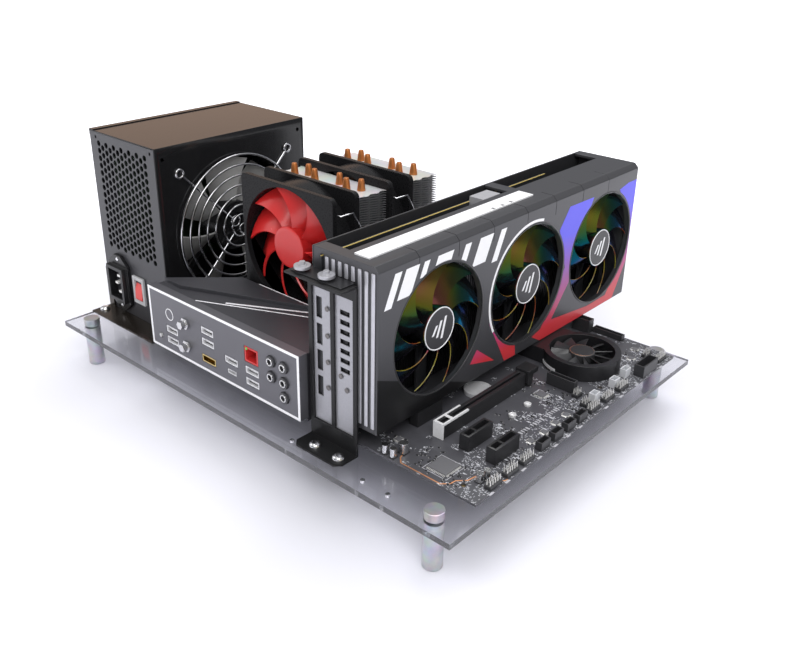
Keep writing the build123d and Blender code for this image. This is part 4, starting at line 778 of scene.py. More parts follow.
def ink_bar(half_x, half_y, side, x=1, y=1):
    bar = block("ink_bar", (-half_x * mm, -half_y * mm, 0), (half_x * mm, half_y * mm, ink_height))
    return taper(bar, side, x, y)


ray = taper(block("ray", (2.9 * mm, -0.3 * mm, 0), (4.6 * mm, 0.3 * mm, ink_height)), "+X", y=0.5)
ray_places = [spot_on_board(178.49, -124.34) @ turned(45 * number, "Z") for number in range(8)]
print_marks = [spread(ray, "rays", ray_places)]
for spot, half in ((sound_spot, 9.4 * mm), (clock_spot, 5.6 * mm)):
    outline = block("outline", (-half, -half, 0), (half, half, ink_height))
    inner = half - 0.45 * mm
    cut(outline, block("inside", (-inner, -inner, -mm), (inner, inner, mm)))
    print_marks.append(stand(outline, "chip_outline", spot))
for number in range(17):
    if number not in (4, 10):
        dash = ink_bar(1.6, 0.75, "+X", y=1.0 if number % 3 == 0 else 0.4)
        print_marks.append(stand(dash, "row_dash", (171.3 + 0.07 * number, -56 + 2.6 * number)))
edge_x, edge_rows = 195.4, (-120, -104, -87.5, -70.5, -52.5, -37.5, -23, 10, 30, 52, 88)
print_marks.append(stand(ink_bar(0.8, 2.2, "+Y", x=0.8), "edge_dashes", *((edge_x, y) for y in edge_rows)))
fit(join(print_marks, "silk_outlines"), silk)


# Rear ports: steel shells behind a printed grey plate with a bright folded rim. The network
# socket has a red liner, the video socket a gilt one, and the jacks have bright bushes.
plate_paint = surface("grey port plate", (0.136, 0.135, 0.150), 0.36, metal=0.5, scale=1500)
refine("io_shield", 0.2 * mm, plate_paint)
shield_low, shield_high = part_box("io_shield")
rim_silver = surface("bright rim", (0.90, 0.90, 0.92), 0.30, metal=0.1, scale=600, bump=0.0)
rim_end = (shield_high.x, shield_low.y + 0.2 * mm, shield_high.z)
rim = block("port_plate_rim", shield_low - Vector((0, 0.25 * mm, 0)), rim_end)
rim_inset = Vector((1.9, -2, 1.9)) * mm
cut(rim, block("inside", shield_low + rim_inset, shield_high - rim_inset))
fit(soften(rim, 0.12 * mm), rim_silver)
socket_metal = surface("socket steel", (0.66, 0.66, 0.67), 0.22, metal=1, scale=700)
refine("rear_ports", 0.2 * mm, socket_metal)
refine("antenna_sockets", 0.3 * mm, socket_metal)


def on_plate(column, row_height):
    return Vector((shield_low.x + column * mm, shield_low.y, shield_low.z + row_height * mm))


def liner(name, column, row_height, width, height, wall, depth):
    spot = on_plate(column, row_height)
    half = Vector((width / 2 * mm, 0, height / 2 * mm))
    shell = block(name, spot - half + Vector((0, 0.15 * mm, 0)), spot + half + Vector((0, depth * mm, 0)))
    return pocket(shell, "-Y", wall * mm, y=(depth - 0.6) * mm)


port_steel = surface("bright port shell", (0.80, 0.80, 0.82), 0.28, metal=0.3, bump=0.0)
# Painted shade: the back wall of each port shell takes a near black material, standing in for the shade deep
# in the socket.
throat_shade_paint = surface("painted shade in socket throat", (0.012, 0.012, 0.013), 0.5)
shells = []
for column, levels in ((25.8, (9.6, 18.2)), (68.2, (22.9, 31.6)), (93.5, (18.2,)), (115.2, (9.6, 18.2))):
    for level in levels:
        shells.append(liner("shell", column, level, width=13, height=5, wall=0.6, depth=3))
shells.append(liner("shell", 93.5, 9.6, width=8.8, height=3.2, wall=0.5, depth=3))
port_shells = join(shells, "port_shells")
throat_y = shield_low.y + 2 * mm
two_tone(port_shells, port_steel, throat_shade_paint, lambda centre, normal: normal.y < -0.9 and centre.y > throat_y)
fit(port_shells, None)
red_liner = surface("red socket plastic", (0.55, 0.03, 0.03), 0.35)
network_liner = liner("network_liner", 115.2, 30.2, width=13.4, height=11.2, wall=1.3, depth=9)
fit(network_liner, red_liner)
gilt = surface("gilt shell", (0.72, 0.55, 0.22), 0.25, metal=1)
video_liner = liner("video_liner", 68.2, 9.6, width=14.8, height=5.4, wall=0.8, depth=9)
fit(video_liner, gilt)
lamp_green = surface("green signal lamp", (0.10, 0.55, 0.08), 0.3)
lamp_spot = on_plate(110.6, 34.2)
signal = block(
    "network_lamp", lamp_spot - Vector((0.8, 0.2, 0.8)) * mm, lamp_spot + Vector((0.8, 0.4, 0.8)) * mm
)
fit(soften(signal, 0.2 * mm), lamp_green)
refine("audio_jacks", 0.25 * mm, surface("jack plastic", (0.05, 0.05, 0.055), 0.35))
bushes = []
for column, level in ((135.4, 33.9), (147.6, 33.9), (135.4, 22.7), (147.6, 22.7), (147.6, 11.9)):
    bush_spot = on_plate(column, level) - Vector((0, 1.7 * mm, 0))
    bushes.append(smooth(wire_ring(2.35 * mm, 0.5 * mm, bush_spot, "Y", 32), 60))
fit(join(bushes, "jack_bushes"), socket_metal)
knock_out = smooth(wire_ring(4.3 * mm, 0.3 * mm, on_plate(24.4, 30.6), "Y", 40), 50)
knock_out.name = "knock_out_ring"
fit(knock_out, rim_silver)
paint(nodes["flash_button"], surface("push button white", (0.50, 0.50, 0.50), 0.4))
cover_skin = surface("satin cover plastic", (0.056, 0.056, 0.064), 0.38, metal=0.35, scale=900)
refine("io_cover", 0.5 * mm, cover_skin)
# Painted highlight: pale wires along the cover's folds and back edge stand in for the light caught by those
# crease edges.
lines = []
for first, last, height, thick, flat in (
    ((-33, -126.5), (22.5, -95.7), 91.05, 0.95, 0.15),
    ((-52, -138.5), (31, -99.5), 91.05, 0.6, 0.25),
    ((-36, -93.1), (20.5, -93.1), 94.05, 0.5, 0.25),
):
    lines.append(wire([(x * mm, y * mm, height * mm) for x, y in (first, last)], thick * mm, flat))
fit(join(lines, "cover_crease_highlights"), surface("painted crease highlight", (0.86, 0.86, 0.90), 0.3, metal=0.2))


# Sockets and slots: black moulded connectors soldered to the board. The armoured slot has a
# bright steel sleeve round its near end, and two latches turn on the far ends of the long slots.
refine("cpu_socket", 0.3 * mm, socket_metal)
slot_plastic = surface("slot plastic", (0.020, 0.020, 0.022), 0.34, scale=800)
for name in ("memory_slots", "graphics_slot", "power_sockets", "armoured_slot"):
    refine(name, 0.3 * mm, slot_plastic)
slot_low, slot_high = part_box("short_slots")
slot_wide, slot_wall, mouth_depth = 7.4 * mm, 1.7 * mm, 7 * mm
short_slots = []
for x in (slot_low.x, 153.1 * mm, slot_high.x - slot_wide):
    moulding = block("short_slot", (x, slot_low.y, slot_low.z), (x + slot_wide, slot_high.y, slot_high.z))
    soften(moulding, 0.3 * mm)
    for start, end in ((1.6, 8.6), (10.4, 23.2)):
        mouth_low = (x + slot_wall, slot_low.y + start * mm, slot_high.z - mouth_depth)
        mouth_high = (x + slot_wide - slot_wall, slot_low.y + end * mm, slot_high.z + mm)
        cut(moulding, block("mouth", mouth_low, mouth_high))
    short_slots.append(moulding)
fit(join(short_slots, "short_card_slots"), slot_plastic, stands_for=("short_slots",))
refine("graphics_slot_latch", 0.4 * mm, slot_plastic, "graphics_latch")
refine("armoured_slot_latch", 0.4 * mm, slot_plastic, "armoured_latch")
slot_low, slot_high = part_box("armoured_slot")
sleeve_thick, sleeve_length = 0.3 * mm, 26 * mm
sleeve_low = slot_low - Vector((sleeve_thick, sleeve_thick, 0))
sleeve_high = (slot_high.x + sleeve_thick, slot_low.y + sleeve_length, slot_high.z + sleeve_thick)
sleeve = block("slot_sleeve", sleeve_low, sleeve_high)
past_end = slot_low.y + 40 * mm
cut(sleeve, block("core", slot_low - Vector((0, 0, mm)), (slot_high.x, past_end, slot_high.z)))
sides_low = (slot_low.x - mm, slot_low.y + 0.6 * mm, slot_low.z - mm)
cut(sleeve, block("sides", sides_low, (slot_high.x + mm, past_end, slot_high.z - 1.0 * mm)))
for start, end in ((1.4, 8.8), (11.2, 40)):
    mouth_low = (slot_low.x + mm, slot_low.y + start * mm, slot_low.z)
    mouth_high = (slot_high.x - mm, slot_low.y + end * mm, slot_high.z + 2 * mm)
    cut(sleeve, block("mouth", mouth_low, mouth_high))
fit(sleeve, rim_silver)
spreader = surface("module spreader", (0.035, 0.035, 0.04), 0.3, metal=0.6)
refine("memory_modules", 0.4 * mm, spreader)
anodised = surface("black anodised", (0.024, 0.024, 0.027), 0.4, metal=0.5)
refine("power_heatsink", 0.3 * mm, anodised)


# Chipset cooler: a moulded round well with a tail under the card. Its fan has flat dark blades
# and a hub cap with a thin copper coloured ring.
well_black = surface("chipset shroud", (0.014, 0.014, 0.016), 0.36)
well_low, well_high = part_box("chipset_shroud")
well_radius, well_height = 28 * mm, well_high.z - well_low.z
well_x, well_y = well_high.x - well_radius, (well_low.y + well_high.y) / 2
well_middle = (well_x, well_y, (well_low.z + well_high.z) / 2)
well = round_bar("chipset_well", well_radius, well_middle, well_height, sides=96)
tail_half, bore_radius, bore_rise = 20 * mm, 23.5 * mm, 3 * mm
tail = block("tail", (well_low.x, well_y - tail_half, well_low.z), (well_x, well_y + tail_half, well_high.z))
cut(well, tail, "UNION")
bore_middle = (well_x, well_y, well_high.z + bore_rise)
cut(well, round_bar("bore", bore_radius, bore_middle, 2 * well_height, sides=96))
fit(soften(well, 0.5 * mm, 3), well_black, stands_for=("chipset_shroud",))
chipset_blade = fan_blade(
    root=9 * mm, tip=22.3 * mm, span=22, rise=5 * mm, sweep=0, camber=0.4 * mm, thick=0.7 * mm
)
chipset_rotor = rotor(
    "chipset_fan_rotor", 9.5 * mm, hub_depth=7 * mm, dome=0.3 * mm, blade=chipset_blade, count=11
)
chipset_rotor.data.transform(facing("chipset_rotor", "Z"))
dark_blades = surface("dark fan plastic", (0.040, 0.040, 0.043), 0.32)
fit(chipset_rotor, dark_blades, "chipset_fan", ("chipset_rotor",))
ring_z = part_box("chipset_rotor")[1].z - 0.35 * mm
hub_ring = wire_ring(8.6 * mm, 0.22 * mm, (well_x, well_y, ring_z), "Z", 48)
hub_ring.name = "chipset_hub_ring"
fit(hub_ring, trace_copper, "chipset_fan")


def arc_strip(name, radius, width, thick, centre, axis, start, angle, steps):
    deselect()
    bpy.ops.mesh.primitive_plane_add(size=1)
    profile = bpy.context.object
    profile.scale = (width, thick, 1)
    profile.location.x = radius
    profile.rotation_euler.x = math.pi / 2
    strip = settle(name)
    edit(strip, "VERT")
    bpy.ops.mesh.select_all(action="SELECT")
    bpy.ops.mesh.spin(steps=steps, angle=math.radians(angle), center=(0, 0, 0), axis=(0, 0, 1))
    outward()
    strip.data.transform(Matrix.Translation(centre) @ towards[axis] @ turned(start, "Z"))
    return strip


mark_middle = (well_x, well_y, well_low.z + 3 * mm)
mark = arc_strip(
    "chipset_mark", radius=28.15 * mm, width=0.4 * mm, thick=2.2 * mm, centre=mark_middle, axis="Z",
    start=-100, angle=42, steps=16,
)
fit(mark, surface("white mark", (0.80, 0.80, 0.82), 0.4))


# Processor cooler: two stacks of thin aluminium fins pressed on six bent copper pipes. The pipe
# ends stick out of the top fins as closed tips, and the fin sides are folded into a zigzag.
fin_metal = surface(
    "fin aluminium, painted shade below top fin", (0.72, 0.74, 0.76), 0.30, metal=0.35, scale=300, wander=0.0, bump=0.0
)
fin_tree = fin_metal.node_tree
fin_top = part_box("front_fins")[1].z
repaint(fin_metal, 0.32, cloud(fin_tree, scale=0.05)["Color"])
# Painted shade: every fin below the top one is darkened, standing in for the shade between the stacked fins.
repaint(fin_metal, mask(fin_tree, "Z", "LESS_THAN", fin_top / mm - 1), (0.22, 0.22, 0.23))
folds, fin_thick, fin_count, fin_pitch, fold_depth = 12, 0.4 * mm, 53, 1.685 * mm, 1.6 * mm
for name in ("front_fins", "rear_fins"):
    fin_low, fin_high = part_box(name)
    fin_size, fin_middle = fin_high - fin_low, (fin_low + fin_high) / 2
    deselect()
    bpy.ops.mesh.primitive_grid_add(x_subdivisions=2, y_subdivisions=folds, size=1)
    bpy.context.object.scale = (fin_size.x, fin_size.y, 1)
    bpy.context.object.location = (fin_middle.x, fin_middle.y, fin_low.z + fin_thick / 2)
    fin = settle(name + "_stack")
    step = fin_size.y / folds
    edit(fin, "VERT")
    choose(fin, lambda spot: abs(spot.x - fin_middle.x) > 20 * mm
           and round((spot.y - fin_low.y) / step) % 4 in (2, 3))
    inward = 1 - 2 * fold_depth / fin_size.x
    bpy.ops.transform.resize(value=(inward, 1, 1), center_override=(fin_middle.x, 0, 0))
    done()
    row(apply(fin, "SOLIDIFY", thickness=fin_thick, offset=0), fin_count, (0, 0, fin_pitch))
    fit(fin, fin_metal, stands_for=(name,))
refine("cooler_base", 0.4 * mm, fin_metal)


def pull_and_size(z, size):
    pull(z=z)
    bpy.ops.transform.resize(value=(size, size, 1))


copper = surface("bare copper", (0.60, 0.22, 0.07), 0.34, metal=0.8, scale=400, wander=0.06, bump=0.0)
pipe_low, pipe_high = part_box("heat_pipes")
pipe_radius, bend, tip_rim, tip_share = 3 * mm, 9 * mm, 0.8 * mm, 0.56
front_row, rear_row = -50.05 * mm, 4.45 * mm
rim_flare, foot_flare, foot_taper, rim_taper = 1.22, 1.464, 0.683, 0.82
pipe_floor = pipe_low.z + pipe_radius
elbow = pipe_floor + bend
tip_height = pipe_high.z - fin_top - tip_rim
cooler_x = (pipe_low.x + pipe_high.x) / 2
pipes = []
for number, spacing in enumerate((-31, -21.5, -10, 10, 21.5, 31)):
    stagger = 2.5 * mm * (1 if number % 2 else -1)
    x, front_y, rear_y = cooler_x + spacing * mm, front_row + stagger, rear_row + stagger
    deselect()
    bpy.ops.mesh.primitive_circle_add(
        vertices=20, radius=pipe_radius * tip_share, fill_type="NGON", location=(x, front_y, pipe_high.z)
    )
    pipe = settle("pipe")
    edit(pipe, "VERT")
    bpy.ops.mesh.select_all(action="SELECT")
    pull_and_size(-tip_rim, rim_flare)
    pull_and_size(-tip_height, foot_flare)
    pull(z=elbow - fin_top)
    bpy.ops.mesh.spin(steps=8, angle=math.pi / 2, center=(x, front_y + bend, elbow), axis=(1, 0, 0))
    pull(y=rear_y - front_y - 2 * bend)
    bpy.ops.mesh.spin(steps=8, angle=math.pi / 2, center=(x, rear_y - bend, elbow), axis=(1, 0, 0))
    pull(z=fin_top - elbow)
    pull_and_size(tip_height, foot_taper)
    pull_and_size(tip_rim, rim_taper)
    bpy.ops.mesh.select_all(action="SELECT")
    bpy.ops.mesh.remove_doubles(threshold=0.005 * mm)
    outward()
    pipes.append(smooth(pipe, 30))
fit(join(pipes, "bent_heat_pipes"), copper, stands_for=("heat_pipes",))


# Cooler fans: black moulded square frames, round inside, and one piece rotors, the front one
# in glossy red. Spring wire clips hold them to the fins.
frame_black = surface("black frame plastic", (0.012, 0.012, 0.013), 0.28, scale=900, wander=0.10, bump=0.06)
finish(frame_black, {"Specular IOR Level": 0.1})
flange, barrel_radius, fan_bore, fan_depth = 4 * mm, 45.4 * mm, 43.5 * mm, 40 * mm
corner_round, motor_radius = 4 * mm, 15 * mm
strut_start, strut_end, strut_half, strut_depth = 14 * mm, 44 * mm, 2.5 * mm, 3 * mm
for name in ("front_fan_frame", "middle_fan_frame"):
    low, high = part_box(name)
    centre = middle(name)
    body = block("frame_body", low, high)
    edit(body, "EDGE")
    done()
    for edge in body.data.edges:
        first, second = (body.data.vertices[end].co for end in edge.vertices)
        edge.select = abs(first.y - second.y) > 10 * mm
    bpy.ops.object.mode_set(mode="EDIT")
    bpy.ops.mesh.bevel(offset=corner_round, segments=5, affect="EDGES")
    done()
    waist_low = (low.x - mm, low.y + flange, low.z - mm)
    waist = block("waist", waist_low, (high.x + mm, high.y - flange, high.z + mm))
    cut(body, cut(waist, round_bar("barrel", barrel_radius, centre, fan_depth, "Y", 72)))
    cut(body, round_bar("bore", fan_bore, centre, fan_depth, "Y", 96))
    motor = Vector((centre.x, high.y - strut_depth / 2, centre.z))
    motor_plate = round_bar("motor_plate", motor_radius, motor, strut_depth, "Y", 48)
    strut_low = (strut_start, -strut_depth / 2, -strut_half)
    strut = block("strut", strut_low, (strut_end, strut_depth / 2, strut_half))
    strut_places = [Matrix.Translation(motor) @ turned(45 + 90 * turn, "Y") for turn in range(4)]
    struts = spread(soften(strut, 0.6 * mm), "struts", strut_places)
    frame_piece = join([soften(body, 0.4 * mm), motor_plate, struts], name + "_moulding")
    fit(frame_piece, frame_black, stands_for=(name,))
red_blades = surface(
    "glossy red blades", (0.56, 0.020, 0.020), 0.26, scale=200, wander=0.06, bump=0.01, coat=0.15
)
cooler_blade = fan_blade(
    root=14 * mm, tip=42 * mm, span=40, rise=-17 * mm, sweep=-26, camber=1.4 * mm, thick=1.2 * mm
)
front_rotor = rotor("front_fan_rotor", 15 * mm, hub_depth=20 * mm, dome=0.8 * mm, blade=cooler_blade, count=9)
middle_rotor = again(front_rotor, "middle_fan_rotor", facing("middle_rotor", "Y"))
front_rotor.data.transform(facing("front_rotor", "Y"))
fit(front_rotor, red_blades, "front_fan", ("front_rotor",))
fit(middle_rotor, black_plastic, "middle_fan", ("middle_rotor",))
clip_wire, clip_rise = 0.7 * mm, 24 * mm
clip_low, clip_high = (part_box("fan_clips")[0].z + clip_wire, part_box("fan_clips")[1].z - clip_wire)
clips = []
for fan_front in (-89.8 * mm, -35.3 * mm):
    for side in (-1, 1):
        x, hook = cooler_x + side * 46.7 * mm, cooler_x + side * 44 * mm
        start, knee, reach = fan_front + 6.7 * mm, fan_front + 18 * mm, fan_front + 34.3 * mm
        path = [
            (hook, start, clip_low), (x, start, clip_low), (x, knee, clip_low),
            (hook, reach, clip_low + clip_rise), (hook, reach, clip_high - clip_rise),
            (x, knee, clip_high), (x, start, clip_high), (hook, start, clip_high),
        ]
        clips.append(wire(path, clip_wire))
fit(join(clips, "spring_clips"), chrome, stands_for=("fan_clips",))


# Graphics card body: a circuit board with a dense fin block behind three fans, closed by a
# gunmetal moulded shroud and a sheet back plate. The shroud's top edge is chamfered and jointed.
shroud_skin = surface(
    "gunmetal shroud", (0.058, 0.058, 0.064), 0.32, metal=0.3, scale=1200, wander=0.06, bump=0.01
)
skin_tree = shroud_skin.node_tree
skin_front, line_top, line_start, line_fall = 120.3, 92, 134, 0.42
face_only = mask(skin_tree, "X", "GREATER_THAN", skin_front)
fall = calc(skin_tree, "MULTIPLY", mask(skin_tree, "Y", "ADD", line_start), line_fall)
below_line = mask(skin_tree, "Z", "LESS_THAN", calc(skin_tree, "SUBTRACT", line_top, fall))
repaint(shroud_skin, calc(skin_tree, "MULTIPLY", below_line, face_only), (0.010, 0.010, 0.011))
shroud_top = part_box("card_shroud")[1].z
face_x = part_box("card_shroud")[1].x
chamfer, groove_reach, groove_half = 1.6 * mm, 8.2 * mm, Vector((5.2, 0.25, 0.45)) * mm
shroud = refine("card_shroud", 0.6 * mm, shroud_skin)
wedge = block("wedge", (-20 * mm, -400 * mm, 0), (20 * mm, 400 * mm, 20 * mm))
wedge.data.transform(Matrix.Translation((face_x - chamfer, 0, shroud_top - chamfer)) @ turned(45, "Y"))
cut(shroud, wedge)
for y in (-100.6, -63.1, -26.9, 11.3, 46, 81.8, 118):
    for x, z, turn in (
        (face_x, shroud_top - groove_reach, 90), (face_x - chamfer, shroud_top - chamfer, 45),
        (face_x - groove_reach, shroud_top, 0),
    ):
        groove = block("groove", -groove_half, groove_half)
        groove.data.transform(Matrix.Translation((x, y * mm, z)) @ turned(turn, "Y"))
        cut(shroud, groove)
crisp(shroud, 30)
back_paint = surface("back plate paint", (0.05, 0.05, 0.055), 0.34, metal=0.4)
refine("card_backplate", 0.5 * mm, back_paint)
laminate = surface("card laminate", (0.025, 0.027, 0.03), 0.4)
edge_tree = laminate.node_tree
laminate_top, gilt_x, gilt_half = 159.6, 76.4, 0.7
top_edge = mask(edge_tree, "Z", "GREATER_THAN", laminate_top)
gilt_line = calc(edge_tree, "MULTIPLY", top_edge, mask(edge_tree, "X", "COMPARE", gilt_x, gilt_half))
repaint(laminate, gilt_line, (0.62, 0.47, 0.14))
paint(nodes["card_board"], laminate)
dark_fins = surface("dark card fins", (0.06, 0.06, 0.065), 0.32, metal=0.85)
block_low, block_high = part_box("card_heatsink")
card_fin_count, card_fin_thick, edge_widening = 119, 0.5 * mm, 3.0
card_fin_step = (block_high.y - block_low.y - card_fin_thick * edge_widening) / (card_fin_count - 1)
card_fin = block("card_fin", block_low, (block_high.x, block_low.y + card_fin_thick, block_high.z))
take_side(card_fin, "+X")
pull(x=-0.01 * mm)
bpy.ops.transform.resize(value=(1, edge_widening, 1), center_override=(block_high.x, block_low.y, 0))
done()
row(card_fin, card_fin_count, (0, card_fin_step, 0))
fin_base = block("card_fin_base", block_low, (block_low.x + 3 * mm, block_high.y, block_high.z))
card_fins = join([soften(fin_base, 0.4 * mm), card_fin], "card_fin_block")
fit(card_fins, dark_fins, stands_for=("card_heatsink",))
fan_centres = [middle(f"card_rotor_{number}") for number in (1, 2, 3)]
bore_rims = []
for centre in fan_centres:
    rim_spot = (face_x - 0.45 * mm, centre.y, centre.z)
    bore_rims.append(smooth(wire_ring(43.9 * mm, 0.75 * mm, rim_spot, "X", 96), 60))
fit(join(bore_rims, "fan_bore_rims"), surface("bore rim", (0.022, 0.022, 0.024), 0.3))


# Card print: thin films on the shroud's face, cut round by the fan bores. Coloured bands run from
# blue at the top to red at the foot, and a row of slanted white dashes crosses the near corner.
def film(corners, x):
    film_thick = 0.1 * mm
    line_through([(x, y * mm, z * mm) for y, z in (*corners, corners[0])])
    bpy.ops.mesh.select_all(action="SELECT")
    bpy.ops.mesh.remove_doubles(threshold=0.001 * mm)
    bpy.ops.mesh.edge_face_add()
    pull(x=film_thick)
    outward()
    return settle("film")


def face_film(corners):
    radius, sunk, cut_through = 45.2 * mm, 0.02 * mm, 4 * mm
    piece = film(corners, face_x - sunk)
    reach = [vertex.co.y for vertex in piece.data.vertices]
    for centre in fan_centres:
        if min(reach) < centre.y + radius and max(reach) > centre.y - radius:
            cut(piece, round_bar("bore", radius, (face_x, centre.y, centre.z), cut_through, "X", 128))
            reach = [vertex.co.y for vertex in piece.data.vertices]
    return piece


bands = [face_film(corners) for corners in (
    ((65, 152), (98, 151.5), (76, 112), (73.4, 90.5), (53.5, 66.9), (40, 64), (66, 105), (53.7, 137)),
    ((53.5, 66.9), (106, 60.5), (134, 61), (150, 84), (162.8, 105), (137, 148.6), (150, 151.4),
     (162.8, 151.4), (162.8, 84), (146, 54.6), (40, 54.6), (28.9, 61.1), (40, 64)),
    ((-26.5, 92), (-12, 68), (-4.6, 55), (8.7, 54.6), (7.3, 64), (-16, 78)),
    ((-38.1, 76.3), (-17.1, 60.3), (-44.8, 67.7)),
)]
band_ink = surface("band ink", (0.4, 0.4, 0.4), 0.32, wander=0.04, bump=0.0)
ink_tree = band_ink.node_tree
hues = ink_tree.nodes.new("ShaderNodeValToRGB")
red_end, blue_end = hues.color_ramp.elements
red_end.position, red_end.color = 0.10, (0.60, 0.018, 0.028, 1)
blue_end.position, blue_end.color = 0.78, (0.075, 0.065, 0.80, 1)
hues.color_ramp.elements.new(0.45).color = (0.28, 0.045, 0.30, 1)
band_foot, band_height = 54, 98
ink_rise = calc(ink_tree, "SUBTRACT", axes_mm(ink_tree)["Z"], band_foot)
fill(ink_tree, hues, {"Fac": calc(ink_tree, "DIVIDE", ink_rise, band_height)})
repaint(band_ink, 0.96, hues.outputs["Color"])
fit(join(bands, "coloured_bands"), band_ink)
white_ink = surface("white ink", (0.84, 0.84, 0.86), 0.36, wander=0.03, bump=0.0)
dash_top, dash_slant = 156.5, 0.45
white_print = []
for start, wide, low in (
    (-131, 6, 136), (-120, 12, 139), (-100, 5, 147), (-86, 15, 150), (-62, 6, 144), (-49, 14, 139),
    (-28, 6, 136),
):
    end, lean = start + wide, (dash_top - low) * dash_slant
    dash = ((start, low), (end, low), (end + lean, dash_top), (start + lean, dash_top))
    white_print.append(face_film(dash))
arc_spot = (face_x + 0.02 * mm, fan_centres[1].y, fan_centres[1].z)
white_print.append(arc_strip(
    "arc", radius=46 * mm, width=1.9 * mm, thick=0.16 * mm, centre=arc_spot, axis="X",
    start=300, angle=135, steps=40,
))
fit(join(white_print, "white_print"), white_ink)


# Card fans: smoked, glossy blades with an oil like sheen, their thin edges painted orange and olive as a
# painted highlight, and flat hub caps with a pale ring and three printed bars.
card_blades = surface("smoked blades", (0.006, 0.006, 0.007), 0.16, wander=0.05, bump=0.0)
finish(card_blades, {"IOR": 1.7, "Thin Film IOR": 1.3, "Thin Film Thickness": 482})
# Painted highlight: an orange material with olive patches stands in for the light caught along the blade
# edges.
painted_edge_glint = surface("blade edge painted highlight", (0.20, 0.035, 0.008), 0.3, wander=0.1, bump=0.0)
glint_tree = painted_edge_glint.node_tree
olive_glint = slope(glint_tree, cloud(glint_tree, scale=0.09)["Fac"], start=0.42, steepness=6)
repaint(painted_edge_glint, olive_glint, (0.24, 0.21, 0.02))
hub_grey = surface("hub cap paint", (0.030, 0.030, 0.033), 0.36, metal=0.2)
card_blade = fan_blade(
    root=14 * mm, tip=42.2 * mm, span=36, rise=10 * mm, sweep=34, camber=0.8 * mm, thick=0.55 * mm
)
card_rotor = rotor("card_rotor", 15 * mm, hub_depth=12 * mm, dome=0.4 * mm, blade=card_blade, count=9)
two_tone(card_rotor, card_blades, hub_grey, lambda centre, normal: centre.xy.length < 14.5 * mm
         and centre.z > 5.5 * mm)
# The thin outer edge faces of the blades take the painted highlight material.
card_rotor.data.materials.append(painted_edge_glint)
for face in card_rotor.data.polygons:
    corners = [card_rotor.data.vertices[corner].co for corner in face.vertices]
    sides = [(first - second).length for first, second in zip(corners, corners[1:] + corners[:1])]
    if face.center.xy.length > 16 * mm and min(sides) < 0.8 * mm:
        face.material_index = 2
for number, centre in enumerate(fan_centres, start=1):
    node, body = f"card_rotor_{number}", f"card_fan_{number}"
    spinner = again(card_rotor, f"card_fan_rotor_{number}", facing(node, "X"))
    fit(spinner, None, body, (node,))
    cap_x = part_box(node)[1].x
    cap_ring = wire_ring(14.1 * mm, 0.42 * mm, (cap_x - 0.35 * mm, centre.y, centre.z), "X", 64)
    marks = [smooth(cap_ring, 60)]
    for shift, rise in ((-5.2, 3.2), (-1, 5.4), (3.4, 7.2)):
        y, low, high = centre.y / mm + shift, centre.z / mm - rise, centre.z / mm + rise
        bar = ((y - 2.6, low), (y - 0.6, low), (y + 3.2, high), (y + 1.2, high))
        marks.append(film(bar, cap_x - 0.02 * mm))
    fit(join(marks, f"card_hub_mark_{number}"), white_ink, body)
bpy.data.objects.remove(card_rotor)


# Card end and top: bright ribs on the near end, a pale strip with three slots along the top,
# a nickel bracket with its sockets and vents, and two thumb screws.
steel = surface("bracket nickel", (0.38, 0.38, 0.41), 0.36, metal=0.5, scale=700, bump=0.0)
thumb_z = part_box("thumb_screws")[0].z
above_lip = mask(steel.node_tree, "Z", "GREATER_THAN", thumb_z / mm - 2.4)
repaint(steel, above_lip, (0.030, 0.030, 0.033))
refine("card_bracket", 0.2 * mm, steel)
rivet = dome_head(radius=1.7 * mm, rim=0.1 * mm, rise=0.25 * mm)
rivet.data.transform(turned(90, "X"))
rivet_spots = ((81.6, 127.5), (81.6, 109.5), (81.6, 91.5), (81.6, 73.5), (97.8, 78), (92.6, 86))
rivets = spread(rivet, "bracket_rivets", [at(x, -138.75, z) for x, z in rivet_spots])
fit(rivets, surface("rivet grey", (0.17, 0.16, 0.16), 0.4, metal=0.5))
thumb = round_bar("thumb", 5.2 * mm, (0, 0, 2.2 * mm), 2.0 * mm, sides=48)
take_side(thumb, "+Z")
for inset, height in ((2.4, 0.5), (1.0, 1.7)):
    bpy.ops.mesh.inset(thickness=inset * mm)
    pull(z=height * mm)
done()
soften(pocket(thumb, "-Z", 3.2 * mm, z=-1.2 * mm), 0.3 * mm)
thumb_places = [Matrix.Translation((x * mm, -144.6 * mm, thumb_z)) for x in (67.7, 88)]
thumbs = spread(thumb, "thumb_screw_heads", thumb_places)
pale_nickel = surface("pale nickel", (0.40, 0.40, 0.43), 0.32, metal=0.5, bump=0.0)
fit(thumbs, pale_nickel, stands_for=("thumb_screws",))
rib_silver = surface("silver ribs", (0.50, 0.50, 0.54), 0.32, metal=0.5, bump=0.0)
rib_tree = rib_silver.node_tree
# Painted shade: the ribs left of the bracket's edge and below its top are repainted near black, standing in
# for the shadow behind the bracket.
rib_split, rib_top = 104.5, 151
left_half = mask(rib_tree, "X", "LESS_THAN", rib_split)
behind = calc(rib_tree, "MULTIPLY", left_half, mask(rib_tree, "Z", "LESS_THAN", rib_top))
repaint(rib_silver, behind, (0.012, 0.012, 0.013))
refine("card_end_bars", 0.9 * mm, rib_silver)
strip_low, strip_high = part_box("card_light_strip")
strip = block("card_top_strip", strip_low, strip_high)
slot_middle_x = strip_high.x - 2 * mm


def slot_block(y, half_x, half_y, low, high):
    near_x, far_x = slot_middle_x - half_x * mm, slot_middle_x + half_x * mm
    return block("slot", (near_x, (y - half_y) * mm, low), (far_x, (y + half_y) * mm, high))


